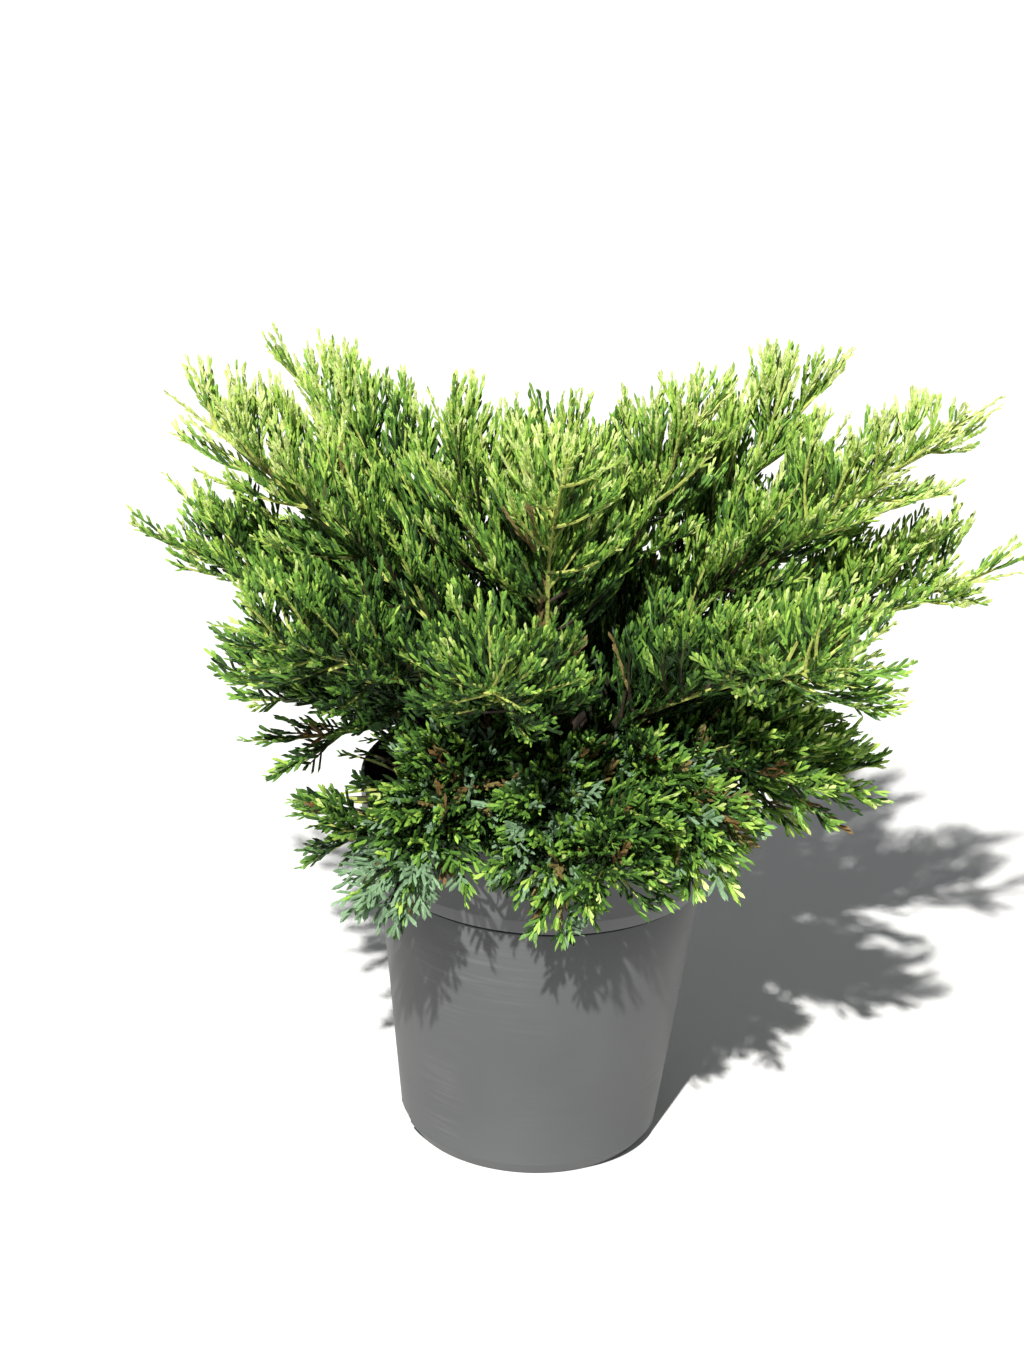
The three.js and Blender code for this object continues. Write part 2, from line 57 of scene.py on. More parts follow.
# Pot.
POT_HEIGHT = 196
RIM_RADIUS = 93.5
COLLAR_BEVEL_TOP = 160
COLLAR_BEVEL = 3
COLLAR_FOOT = 150
COLLAR_RADIUS = 91.3
COLLAR_FOOT_RADIUS = 86.5
SHOULDER_RADIUS = 83.5
GROOVE_HEIGHT = 2.4
GROOVE_DEPTH = 1.4
GROOVE_EDGE = 0.4
GROOVE_CORNER = 0.3
HEEL_HEIGHT = 8
HEEL_RADIUS = 66.5
FOOT_RADIUS = 61.5
POT_WALL = 2
FLOOR_THICKNESS = 3
EDGE_ROUNDING = 0.8
POT_SHARP_EDGE = 32
SLOT_WIDTH = 22
SLOT_HEIGHT = 8.5
SLOT_FOOT = 1.5
SLOT_TURN = 14
DRAIN_COUNT = 4
DRAIN_RADIUS = 4.5
DRAIN_CIRCLE = 38
DRAIN_SIDES = 32

# Scuffs on the pot: faintest right of the first place and strongest left of the second, with the faintest's
# share of the strongest, and the strength of them all. They are a little rougher than the rest.
SCUFF_FROM = 10
SCUFF_TO = -40
SCUFF_LEAST = 0.15
SCUFF_SHARE = 0.14
SMOOTH_ROUGHNESS = 0.5
SCUFFED_ROUGHNESS = 0.58

# Soil, and the crumbs and chips on it.
SOIL_EDGE = 176
SOIL_TOP = 179
SOIL_LEVEL_RADIUS = 24
SOIL_SIDES = 72
SOIL_RINGS = 24
SOIL_MIDDLE_RADIUS = 1.5
SOIL_BUMP = 2.4
SOIL_BUMP_MIDDLE = 0.6
SOIL_BUMP_SIZE = 90
SOIL_FADE = 8
GAP = 0.3
CRUMB_SIDES = 5
CRUMB_SIZES = (0.7, 2.6)
CRUMB_BIAS = 2.2
CRUMB_THICKNESS = 0.8
CRUMB_DENTS = (0.75, 1.15)
CRUMB_TILT = 0.5
CRUMB_RISE = 0.3
CRUMB_MARGIN = 3
CHIP_FROM = 0.8
CHIP_STRETCH = 2.2
CHIP_THICKNESS = 0.35
DRY_FROM = 0.6

# Trunk. Its crown is a low dome, as shares of its radius and height.
TRUNK_HEIGHT = 40
TRUNK_FLARE_RADIUS = 13.5
TRUNK_RADIUS = 8.2
TRUNK_TOP_RADIUS = 5.2
TRUNK_FLARE_HEIGHT = 7
TRUNK_LEAN = (-0.05, 0.02)
TRUNK_DOME = ((0.82, 1.02), (0.5, 1.035), (0.15, 1.04))
TRUNK_RINGS = 44
TRUNK_SIDES = 48
FLARE_LOBES = 5
FLARE_LOBE_DEPTH = 0.14

# Bark: strips round the wood, and two layers of relief with their fineness round it, their fineness along it
# and their depth.
TRUNK_STRIPS = 3.4
TRUNK_SEED = 3.0
TRUNK_SHARP_EDGE = 50
BOUGH_STRIPS = 1.5
BOUGH_SEED_STEP = 7.0
BOUGH_SHARP_EDGE = 60
BARK_LAYERS = ((1.0, 0.045, 1.3), (2.3, 0.14, 0.7))

# Limbs, in tiers of like ones. The first three lines of each tier are the frame's own rule. The others are
# this model's:
#   woody, how far out the stems are brown
#   crowding, a factor on the number of side shoots
#   short_of_tip, how far finer shoots stay behind the limb's tip
#   slender, how much the sprays narrow toward the limb's end
#   spray_lean, how far a spray leans from its stem, and spray_rise, how it bends upward
#   finger_lean, how far fingers stand out from their spray, and girth, their breadth
#   spray_share, a factor on the sprays' length
#   runner_whip, where on a long shoot its bare whip begins
#   tone, the tier's place on the scale of greens from the darkest
TIERS = (
    dict(
        name="skirt", count=7, first=236, step=40, on_trunk=12, start_rise=34, tip_rise=-70, handle=0.54,
        reach=124, tip=177, side_spread=0.02, right_spread=-0.15, side_turn=0, upturn=-0.25,
        front_drop=-0.05, shoot_share=0.92,
        woody=1.4, crowding=1.5, short_of_tip=14, slender=0, spray_lean=34, spray_rise=0, finger_lean=30,
        girth=1.3, spray_share=0.84, runner_whip=0.84, tone=2.3,
    ),
    dict(
        name="low", count=7, first=231, step=51, on_trunk=18, start_rise=32, tip_rise=7, handle=0.36,
        reach=156, tip=238, side_spread=0.02, right_spread=0.03, side_turn=4, upturn=0,
        front_drop=0.68, shoot_share=1,
        woody=0.85, crowding=1.15, short_of_tip=16, slender=0.3, spray_lean=31, spray_rise=0.2,
        finger_lean=28, girth=1.2, spray_share=0.84, runner_whip=0.8, tone=2.1,
    ),
    dict(
        name="middle", count=8, first=172, step=45, on_trunk=24, start_rise=42, tip_rise=21, handle=0.36,
        reach=207, tip=323, side_spread=0.07, right_spread=0.06, side_turn=3, upturn=0.2,
        front_drop=0.01, shoot_share=1,
        woody=0.66, crowding=1, short_of_tip=22, slender=1, spray_lean=26, spray_rise=0.5, finger_lean=22,
        girth=1.06, spray_share=1, runner_whip=0.6, tone=2.1,
    ),
    dict(
        name="high", count=5, first=128, step=72, on_trunk=30, start_rise=56, tip_rise=41, handle=0.36,
        reach=161, tip=415, side_spread=0.27, right_spread=0.02, side_turn=20, upturn=0.25,
        front_drop=0, shoot_share=1,
        woody=0.64, crowding=1, short_of_tip=24, slender=1, spray_lean=22, spray_rise=0.7, finger_lean=17,
        girth=0.95, spray_share=1, runner_whip=0.56, tone=2.7,
    ),
    dict(
        name="top", count=3, first=180, step=-96, on_trunk=39, start_rise=78, tip_rise=67, handle=0.36,
        reach=68, tip=410, side_spread=0.05, right_spread=0.07, side_turn=0, upturn=0.25,
        front_drop=0, shoot_share=1,
        woody=0.95, crowding=0.9, short_of_tip=24, slender=1, spray_lean=21, spray_rise=0.8, finger_lean=17,
        girth=0.95, spray_share=1, runner_whip=0.56, tone=2.5,
    ),
)
ROOT_OFFSET = 3.4
RIGHT_LIFT = 0.06
BACK_DROP = 0.17
REACH_JITTER = 0.06
TIP_JITTER = 9
AZIMUTH_JITTER = 5
TIP_TURN_JITTER = 16
LIMB_STEPS = 22
LIMB_ROOT_RADIUS = 2.1
LIMB_TIP_RADIUS = 0.9

# A bough is a limb's inner share. It swells where it leaves the trunk.
BOUGH_SHARE = 0.3
BOUGH_TUCK = 0.02
BOUGH_RINGS = 26
BOUGH_SIDES = 14
BOUGH_SWELL = 0.9
BOUGH_SWELL_LENGTH = 9

# Side shoots: the first of each limb's series are the frame's own, and the series goes on from there.
FRAME_SHOOTS = 7
SHOOT_FROM = 0.36
SHOOT_TO = 0.8
SHOOT_LENGTH = 92
SHOOT_LENGTH_JITTER = 0.18
SHOOT_TIP_SHARE = 0.36
SHOOT_TRIM = 0.86
SHOOT_ANGLE = 44
SHOOT_ANGLE_JITTER = 9
SHOOT_TURNS = (18, 18, 62)
SHOOT_TURN_JITTER = 24
SHOOT_SHORTEST = 26
SHOOT_STEPS = 20
SHOOT_FREE_STEPS = 3
GOLDEN_SHARE = 0.61803398875
SPACE_MARGIN = 2.6
LIMB_CLEARANCE = 1.2
POT_CLEARANCE = 3
CURVE_DIVISIONS = 200

# The draws: a seed, odd factors for the four keys, and the shifts and factors that mix them.
SEED = 532
KEY_FACTORS = (374761393, 668265263, 1274126177, 1103515245)
MIXING = ((15, 739982445), (12, 695872825))
LOW_BITS = 0xFFFFFFFF

# Runners: every third shoot past the frame's own is a long whip at a narrow angle.
RUNNER_EVERY = 3
RUNNER_ANGLE_SHARE = 0.6
RUNNER_LENGTH_SHARE = 1.08
RUNNER_PAST_TIP = 2

# Finer shoots: the rest of the series starts further in and turns every way, so that the crown is full.
FINER_FROM = 0.13
FINER_TO = 0.9
FINER_TURNS = (70, 15, 105, -35, 40)
FINER_SHORTEST = 13
FINER_TIP_SHARE = 0.46
FINER_ANGLE = 57
FINER_MARGIN = 0.4

# A plume is a leader or a side shoot with all that it bears: leafy from one share of its length, and a bare
# whip from another.
PLUME_START = 0.04
PLUME_RADIUS = 1.15
LEAFY_FROM = 0.13
LEADER_WHIP = 0.78
SHOOT_WHIP = 0.78

# Sprays on a plume. They are longest in its lower half, short on its underside, and slender toward the end
# of their limb.
SPRAY_SIDES = (22, 158, 68, 112, -12, 192, 90)
SPRAY_SIDE_STEP = 3
SPRAY_SIDE_JITTER = 20
SPRAY_LEAN_JITTER = 9
SPRAY_CLOSING = (1.15, 0.6)
SPRAY_BEND = 0.8
SPRAY_LENGTH_JITTER = 0.24
SPRAY_END_SHARE = 0.34
SPRAY_TILT = 75
SPRAY_STEM_SHARES = (0.0, 0.35, 0.7)
SPRAY_STEM_RADII = (0.62, 0.52, 0.42)
SPRAY_CHECKS = (0.2, 0.45, 0.7, 1.0)
SPRAY_CLEARANCE = 1.2
UNDERSIDE_CUT = 0.5
SLENDER_FROM = 0.7
SLENDER_END_SHARE = 0.7
SLENDER_LEAN_SHARE = 0.6
SLENDER_FINGER_SHARE = 0.62

# Fingers on a spray. The key of a finger's draws is its spray's number times FINGER_DRAWS, plus its own. The
# profile gives their length along the spray, and the rings their breadth along themselves.
FEWEST_FINGERS = 4
MOST_FINGERS = 12
FINGER_DRAWS = 16
FINGER_START = 0.7
END_FINGER_AT = 0.9
FINGER_CLOSING = (1.15, 0.75)
FINGER_LEAN_JITTER = 10
FINGER_PROFILE = ((0, 0.25, 0.55, 1), (0.75, 1.0, 0.9, 0.55))
FINGER_LENGTH_JITTER = 0.3
FINGER_WIDTH_JITTER = 0.22
FINGER_LIFT = 0.34
FINGER_RISE_SHARE = 0.42
FINGER_RINGS = ((0.0, 0.75), (0.74, 0.95))
FINGER_THICKNESS = 0.92
FINGER_NOD = 0.18
FINGER_CLEARANCE = 0.6
FINGER_CORNERS = 7
FINGER_FACES = np.array([
    (0, 1, 3), (1, 4, 3), (1, 2, 4), (2, 5, 4), (2, 0, 5), (0, 3, 5),
    (3, 4, 6), (4, 5, 6), (5, 3, 6), (0, 2, 1),
])

# Short fingers on a plume's bare whip, pressed to it and turning round it.
FEWEST_WHIP_FINGERS = 3
WHIP_DRAWS_FROM = 900
WHIP_PITCH = 2.1
WHIP_START = 0.4
WHIP_TURN = 1 + 2 * GOLDEN_SHARE / 3
WHIP_TURN_JITTER = 0.5
WHIP_LEAN = 17
WHIP_LEAN_JITTER = 7
WHIP_FINGER = 6.5
WHIP_LENGTHS = (1.3, 0.55)
WHIP_WIDTHS = (0.85, 0.6)
WHIP_TONE = 0.5

# Woody stems of plumes: brown within, olive for a short way, and lime from there. Leaders and runners turn
# lime further in.
STEM_PITCH = 6.5
STEM_SIDES = 5
STEM_TIP_RADIUS = 0.42
STEM_TAPER = 0.8
STEM_TUCK = 0.03
FEWEST_STEM_RINGS = 4
STEM_AGE_JITTER = 0.08
LEADER_YOUTH = 0.3
OLIVE_SHARE = 0.12
PIECE_LIMIT = 190000

# Tones. Painted shade makes the foliage darkest round the crown's heart and darker at the lower left, and
# painted light makes it lighter upward. It is lighter outward along a limb, for younger growth and as
# painted light.
HEART_HEIGHT = 260
CROWN_RADIUS = 190
OUTWARD_FROM = 0.62
OUTWARD_TONE = 1.8
HEART_FROM = 0.57
HEART_TONE = 2.3
UPWARD_TONE = 0.9
SPRAY_TONE_JITTER = 1.1
PLUME_TONE_JITTER = 0.4
SHADED_SIDE_FROM = -30
SHADED_SIDE_WIDTH = 70
SHADED_SIDE_TOP = 370
SHADED_SIDE_TONE = 1.0
FINGER_TONE_JITTER = 1.5
# Fingers are darker toward their spray's root and lighter toward its end: painted shade and painted light.
FINGER_TONES = (-2.1, 1.1)

# Odd colours, as places on a draw from 0 to 1. The skirt's left tuft is bloomed blue green.
TUFT_EDGE = -52
TUFT_TOP = 208
TUFT_BLOOM_TO = 0.85
SKIRT_BLOOM_TO = 0.15
STRAW_FROM = 0.982
STRAW_WITHIN = 0.75
SKIRT_STRAW_FROM = 0.96
RUST_FROM = 0.97
SKIRT_RUST_FROM = 0.94

# The crown's bounds: nothing new grows past its top, and at the left a bite lets the pot's rim show. The
# bite is the space round a line.
CROWN_TOP = 416
LOPPED_SHARE = 0.3
BITE_FROM = (-90.0, 20.0, 194.0)
BITE_TO = (-90.0, -72.0, 222.0)
BITE_RADIUS = 20

# The skirt's hem: right of the left tuft, its sprays grow shorter from this height down.
HEM_FOOT = 172
HEM_DEPTH = 36
HEM_SHARE = 0.32

# The camera that sees the plant as it is looked at, and the picture's size.
CAMERA_PLACE = (-30.0, -1971.7, 1111.6)
CAMERA_PITCH = 23.68
CAMERA_YAW = 0.32
CAMERA_ROLL = 2.72
CAMERA_FAR_METRES = 100
FOCAL_PIXELS = 4284
PICTURE_HEIGHT = 1366
SENSOR = 36.0

# The light's colours.
KEY_COLOUR = (1.0, 0.985, 0.95)
FILL_COLOUR = (0.94, 0.97, 1.0)

# Finishes: how dark the second shade is beside the first, the surface, and the two node groups' values.
PLAIN_SPECULAR = 0.35
DRY_PEAT_SHARE = 2.2
LEAF_FINISH = dict(
    dark=0.72, roughness=0.52, patches=dict(Size=160.0, Low=0.38, High=0.66),
    relief=dict(Size=620.0, Strength=0.55, Distance=0.0005),
)
STEM_FINISH = dict(
    dark=0.62, roughness=0.6, patches=dict(Size=220.0, Low=0.4, High=0.62),
    relief=dict(Size=500.0, Strength=0.5, Distance=0.0005),
)
BARK_FINISH = dict(
    dark=0.42, roughness=0.85, specular=0.2,
    patches=dict(Size=90.0, Drawn_Out=(1.0, 1.0, 0.3), Low=0.42, High=0.58),
    relief=dict(Size=420.0, Drawn_Out=(1.0, 1.0, 0.25), Strength=0.8, Distance=0.0008),
)
SOIL_FINISH = dict(
    dark=0.45, roughness=0.92, specular=0.2, patches=dict(Size=260.0, Low=0.4, High=0.6),
    relief=dict(Size=700.0, Strength=0.9, Distance=0.001),
)
POT_FINISH = dict(
    dark=0.9, roughness=SMOOTH_ROUGHNESS, specular=0.4, patches=dict(Size=22.0, Low=0.35, High=0.7),
    relief=dict(Size=900.0, Strength=0.12, Distance=0.0003),
)
FLOOR_FINISH = dict(
    dark=0.985, roughness=0.8, specular=0.2, patches=dict(Size=3.0, Low=0.3, High=0.7),
    relief=dict(Size=300.0, Strength=0.02),
)
SCUFF_STREAKS = dict(Size=60.0, Drawn_Out=(0.4, 0.4, 9.0), Low=0.46, High=0.75)
SCUFF_PATCHES = dict(Size=16.0, Low=0.45, High=0.62)

# Greens from the darkest to the lightest, and the few odd colours, as slots on the pieces of foliage.
GREENS = ("shade_green", "deep_green", "mid_green", "fresh_green", "light_green", "lime_green")
ODD_COLOURS = ("blue_green", "straw", "rust")
LEAF_COLOURS = GREENS + ODD_COLOURS
STEM_COLOURS = ("twig_brown", "twig_olive", "twig_lime")
SLOT_OF_TIER = dict(
    skirt="foliage_low", low="foliage_low", middle="foliage_middle", high="foliage_high", top="foliage_high",
)


def mix(low, high, share):
    """A value between two others."""
    return low + (high - low) * share


def unit(vectors):
    """The same directions at length one."""
    vectors = np.asarray(vectors, dtype=float)
    return vectors / np.linalg.norm(vectors, axis=-1, keepdims=True)


def column(values):
    """Numbers as a column that scales rows of vectors."""
    return np.asarray(values, dtype=float)[..., None]


# Chance: the same draw for the same keys.
def times(value, factor):
    """The low 32 bits of a product."""
    return (value * np.uint64(factor)) & np.uint64(LOW_BITS)


def chance(*keys):
    """The same numbers from 0 to 1 for the same four keys, whatever was drawn before.

    The keys are a limb, a shoot, an item on it and the kind of draw.
    """
    mixed = np.zeros(1, dtype=np.uint64)
    for key, start, factor in zip(keys, (SEED, 1, 1, 1), KEY_FACTORS):
        lifted = np.atleast_1d(np.asarray(key, dtype=np.uint64)) + np.uint64(start)
        mixed = mixed ^ times(lifted, factor)
    for shift, factor in MIXING:
        mixed = times(mixed ^ (mixed >> np.uint64(shift)), factor)
    drawn = (mixed ^ (mixed >> np.uint64(MIXING[0][0]))).astype(float) / 2.0**32
    return drawn if any(np.ndim(key) for key in keys) else float(drawn[0])


def jitter(amount, *keys):
    """A draw from minus to plus an amount."""
    return amount * (2 * chance(*keys) - 1)


# Curves.
class Curve:
    """A Bezier curve measured along its length."""

    def __init__(self, *controls):
        self.controls = np.array(controls, dtype=float)
        self.parameters = np.linspace(0, 1, CURVE_DIVISIONS + 1)
        places = self.blend(self.parameters, 1)[0]
        steps = np.linalg.norm(np.diff(places, axis=0), axis=1)
        self.lengths = np.concatenate([[0], np.cumsum(steps)])
        self.length = self.lengths[-1]

    def blend(self, parameters, layers_left):
        """The curve's nested mixes of its control points, down to a number of layers."""
        t = column(np.atleast_1d(parameters))
        layers = [np.broadcast_to(control, (len(t), 3)) for control in self.controls]
        while len(layers) > layers_left:
            layers = [mix(a, b, t) for a, b in zip(layers, layers[1:])]
        return layers

    def parameter(self, share):
        """The curve's parameter at a share of its length."""
        return np.interp(np.atleast_1d(share) * self.length, self.lengths, self.parameters)

    def points(self, share):
        """Points at shares of the length."""
        return self.blend(self.parameter(share), 1)[0]

    def along(self, share):
        """Directions at shares of the length."""
        last, ahead = self.blend(self.parameter(share), 2)
        return unit(ahead - last)


def heading(azimuth, rise):
    """A direction from an azimuth and a rise."""
    a = math.radians(azimuth)
    e = math.radians(rise)
    return np.array([math.cos(a) * math.cos(e), math.sin(a) * math.cos(e), math.sin(e)])


def cross_axes(along):
    """Axes across directions: one level, the other upward."""
    level = np.cross(along, UP)
    flat = np.linalg.norm(level, axis=-1, keepdims=True) < MM
    level = unit(np.where(flat, np.array([1.0, 0.0, 0.0]), level))
    return level, unit(np.cross(level, along))


def around(axes, angle):
    """Directions at angles in radians round a line."""
    level, upward = axes
    return level * column(np.cos(angle)) + upward * column(np.sin(angle))


# Growth: the same rule as the frame's source.
def trunk_axis(above):
    """The middle of the trunk at a height above the soil."""
    return np.array([TRUNK_LEAN[0] * above, TRUNK_LEAN[1] * above, SOIL_TOP + GAP + above])


def limb_radius(share):
    """A limb's radius at a share of its length."""
    return mix(LIMB_ROOT_RADIUS, LIMB_TIP_RADIUS, share)


def grown_limb(limb, tier, k):
    """One limb of a tier, as its curve from the trunk to its tip."""
    even = tier["first"] + k * tier["step"]
    turned_aside = tier["side_turn"] * math.sin(math.radians(2 * even))
    azimuth = even - turned_aside + jitter(AZIMUTH_JITTER, limb, 0, 0, 0)
    rightward = math.cos(math.radians(azimuth))
    backward = math.sin(math.radians(azimuth))
    sideways = rightward**2 - backward**2
    spread = 1 + tier["side_spread"] * sideways + tier["right_spread"] * rightward
    reach = tier["reach"] * spread * (1 + jitter(REACH_JITTER, limb, 0, 0, 1))
    root = trunk_axis(tier["on_trunk"]) + heading(azimuth, 0) * ROOT_OFFSET
    tip = heading(azimuth, 0) * reach
    drop = BACK_DROP * backward if backward > 0 else tier["front_drop"] * -backward
    above_rim = max(0, tier["tip"] - POT_HEIGHT)
    tip[2] = tier["tip"] + (RIGHT_LIFT * rightward - drop) * above_rim + jitter(TIP_JITTER, limb, 0, 0, 2)
    handle = np.linalg.norm(root - tip) * tier["handle"]
    tip_turn = jitter(TIP_TURN_JITTER, limb, 0, 0, 3)
    curve = Curve(
        root,
        root + heading(azimuth, tier["start_rise"]) * handle,
        tip - heading(azimuth + tip_turn, tier["tip_rise"]) * handle,
        tip,
    )
    return dict(id=limb, tier=tier, curve=curve, name=f"{tier['name']}_{k + 1}")


def grown_limbs():
    """Every limb, in the frame's order."""
    made = []
    for tier in TIERS:
        for k in range(tier["count"]):
            made.append(grown_limb(len(made), tier, k))
    return made


LIMBS = grown_limbs()
LIMB_LINES = np.array([limb["curve"].points(np.linspace(0, 1, LIMB_STEPS + 1)) for limb in LIMBS])
LIMB_STARTS = LIMB_LINES[:, :-1]
LIMB_SPANS = np.diff(LIMB_LINES, axis=1)
LIMB_RADII = limb_radius(np.arange(LIMB_STEPS) / LIMB_STEPS)


def limb_distances(points):
    """The distance from each point to each limb's line, and that limb's radius where it is nearest."""
    offset = points[:, None, None, :] - LIMB_STARTS
    share = (offset * LIMB_SPANS).sum(-1) / (LIMB_SPANS**2).sum(-1)
    nearest = LIMB_SPANS * column(np.clip(share, 0, 1))
    gaps = np.linalg.norm(offset - nearest, axis=-1)
    return gaps.min(-1), LIMB_RADII[gaps.argmin(-1)]


def pot_radius(height):
    """The pot's outer radius at a height, without the groove and the rim's rounding."""
    up_collar = np.minimum((height - COLLAR_BEVEL_TOP) / (POT_HEIGHT - COLLAR_BEVEL_TOP), 1)
    top = mix(COLLAR_RADIUS, RIM_RADIUS, up_collar)
    bevel = mix(COLLAR_FOOT_RADIUS, COLLAR_RADIUS, (height - COLLAR_FOOT) / (COLLAR_BEVEL_TOP - COLLAR_FOOT))
    rise = np.maximum(height - HEEL_HEIGHT, 0) / (COLLAR_FOOT - HEEL_HEIGHT)
    wall = mix(HEEL_RADIUS, SHOULDER_RADIUS, rise)
    return np.where(height > COLLAR_BEVEL_TOP, top, np.where(height > COLLAR_FOOT, bevel, wall))


def clear_of_pot(points, clearance=POT_CLEARANCE):
    """True where points are outside the pot's wall and above the soil."""
    height = points[..., 2]
    out = np.hypot(points[..., 0], points[..., 1])
    beside = (out > pot_radius(height) + clearance) & (height > POT_CLEARANCE)
    within = (out < RIM_RADIUS - POT_WALL - 2 * clearance) & (height > SOIL_TOP + clearance)
    return (height > POT_HEIGHT + clearance) | beside | within


def clear_of_bite(points):
    """Which points lie outside the crown's bite."""
    start = np.array(BITE_FROM)
    span = np.array(BITE_TO) - start
    share = np.clip((points - start) @ span / (span @ span), 0, 1)
    return np.linalg.norm(points - start - column(share) * span, axis=1) > BITE_RADIUS


def has_room(points, limb, margin):
    """True where points belong to this limb's own space, by a margin, and touch nothing else."""
    distance, radius = limb_distances(points)
    own = distance[:, [limb]]
    apart = (distance - own > margin) & (distance > radius + LIMB_CLEARANCE)
    apart[:, limb] = True
    return apart.all(axis=1)


def within_reach(points, limb, short):
    """True where points stay short of the level of a limb's tip, across its heading there."""
    tip = limb["curve"].points(1.0)[0]
    ahead = (points - tip) @ limb["curve"].along(1.0)[0]
    return (ahead < -short).all()


def is_runner(shoot):
    """True for a shoot that is a long whip."""
    return shoot > FRAME_SHOOTS and shoot % RUNNER_EVERY == 0


def shoot_curve(limb, shoot):
    """A limb's side shoot: it leaves forward to one side, then turns along the limb and up."""
    key = limb["id"]
    place = (chance(key, 0, 0, 4) + shoot * GOLDEN_SHARE) % 1
    finer = shoot > FRAME_SHOOTS
    share = mix(FINER_FROM if finer else SHOOT_FROM, FINER_TO if finer else SHOOT_TO, place)
    start = limb["curve"].points(share)[0]
    along = limb["curve"].along(share)[0]
    turns = FINER_TURNS if finer else SHOOT_TURNS
    turn = turns[shoot % len(turns)] + jitter(SHOOT_TURN_JITTER, key, shoot, 0, 9)
    angle = math.radians(180 - turn if shoot % 2 else turn)
    opening = FINER_ANGLE if finer else SHOOT_ANGLE
    lean = math.radians(opening + jitter(SHOOT_ANGLE_JITTER, key, shoot, 0, 10))
    natural = SHOOT_LENGTH * (1 + jitter(SHOOT_LENGTH_JITTER, key, shoot, 0, 11))
    length = limb["tier"]["shoot_share"] * natural
    length *= mix(1, FINER_TIP_SHARE if finer else SHOOT_TIP_SHARE, place)
    if is_runner(shoot):
        lean *= RUNNER_ANGLE_SHARE
        length *= RUNNER_LENGTH_SHARE
    side = around(cross_axes(along), angle)
    first = along * math.cos(lean) + side * math.sin(lean)
    last = unit(first + along + UP * limb["tier"]["upturn"])
    margin = FINER_MARGIN if finer else SPACE_MARGIN
    while length >= (FINER_SHORTEST if finer else SHOOT_SHORTEST):
        bend = start + first * length / 2
        curve = Curve(start, bend, bend + last * length / 2)
        on_way = curve.points(np.linspace(0, 1, SHOOT_STEPS + 1))
        short = -RUNNER_PAST_TIP if is_runner(shoot) else limb["tier"]["short_of_tip"]
        inside = not finer or (within_reach(on_way, limb, short) and on_way[-1, 2] < CROWN_TOP)
        if inside and clear_of_pot(on_way).all() and has_room(on_way[SHOOT_FREE_STEPS:], key, margin).all():
            return curve, share
        length *= SHOOT_TRIM
    return None


@functools.lru_cache(maxsize=1)
def grown_plumes(shoot_count):
    """Every plume: each limb's leader and the side shoots that find room."""
    plumes = []
    for limb in LIMBS:
        tier = limb["tier"]
        bare = 0.0 if tier["name"] == "top" else BOUGH_SHARE
        leader = dict(limb=limb, shoot=0, curve=limb["curve"], root=0.0, radius=limb_radius(bare))
        leader.update(start=bare, leafy=min(bare, LEAFY_FROM), whip=mix(bare, 1, LEADER_WHIP))
        plumes.append(leader)
        for shoot in range(1, int(shoot_count * tier["crowding"]) + 1):
            grown = shoot_curve(limb, shoot)
            if grown is None:
                continue
            curve, root = grown
            plume = dict(limb=limb, shoot=shoot, curve=curve, root=root, radius=PLUME_RADIUS)
            whip = tier["runner_whip"] if is_runner(shoot) else SHOOT_WHIP
            plume.update(start=PLUME_START, leafy=PLUME_START, whip=whip)
            plumes.append(plume)
    return plumes


def outerness(plume, share):
    """How far out on its limb a place on a plume is, from 0 at the trunk to about 1 at the tip."""
    reach = plume["limb"]["curve"].length
    if plume["shoot"] == 0:
        return np.asarray(share, dtype=float)
    return plume["root"] + np.asarray(share) * plume["curve"].length / reach


# Sprays: each is a slim curved stem with fingers to both sides, flat in its own plane.
def tone_of(plume, share, item):
    """Places on the scale of greens: painted shade round the heart and at the lower left, painted light
    upward, lighter outward for young growth and as painted light, with a spray's own draw.
    """
    limb = plume["limb"]
    place = plume["curve"].points(share)
    # Painted shade round the crown's heart, painted light upward, and lighter outward for young growth and
    # as painted light.
    from_heart = np.hypot(place[:, 0], place[:, 2] - HEART_HEIGHT) / CROWN_RADIUS
    outward = (outerness(plume, share) - OUTWARD_FROM) * OUTWARD_TONE
    outer = (from_heart - HEART_FROM) * HEART_TONE
    upward = (place[:, 2] - HEART_HEIGHT) / CROWN_RADIUS
    own = jitter(SPRAY_TONE_JITTER, limb["id"], plume["shoot"], item, 20)
    own = own + jitter(PLUME_TONE_JITTER, limb["id"], plume["shoot"], 0, 21)
    # Painted shade: the crown's lower left is darker.
    leftward = np.clip((SHADED_SIDE_FROM - place[:, 0]) / SHADED_SIDE_WIDTH, 0, 1)
    own -= SHADED_SIDE_TONE * leftward * np.clip((SHADED_SIDE_TOP - place[:, 2]) / SHADED_SIDE_WIDTH, 0, 1)
    return limb["tier"]["tone"] + outward + outer + upward * UPWARD_TONE + own


def green_slots(tones):
    """The nearest green's slot for each place on the scale."""
    return np.clip(np.round(tones), 0, len(GREENS) - 1).astype(int)


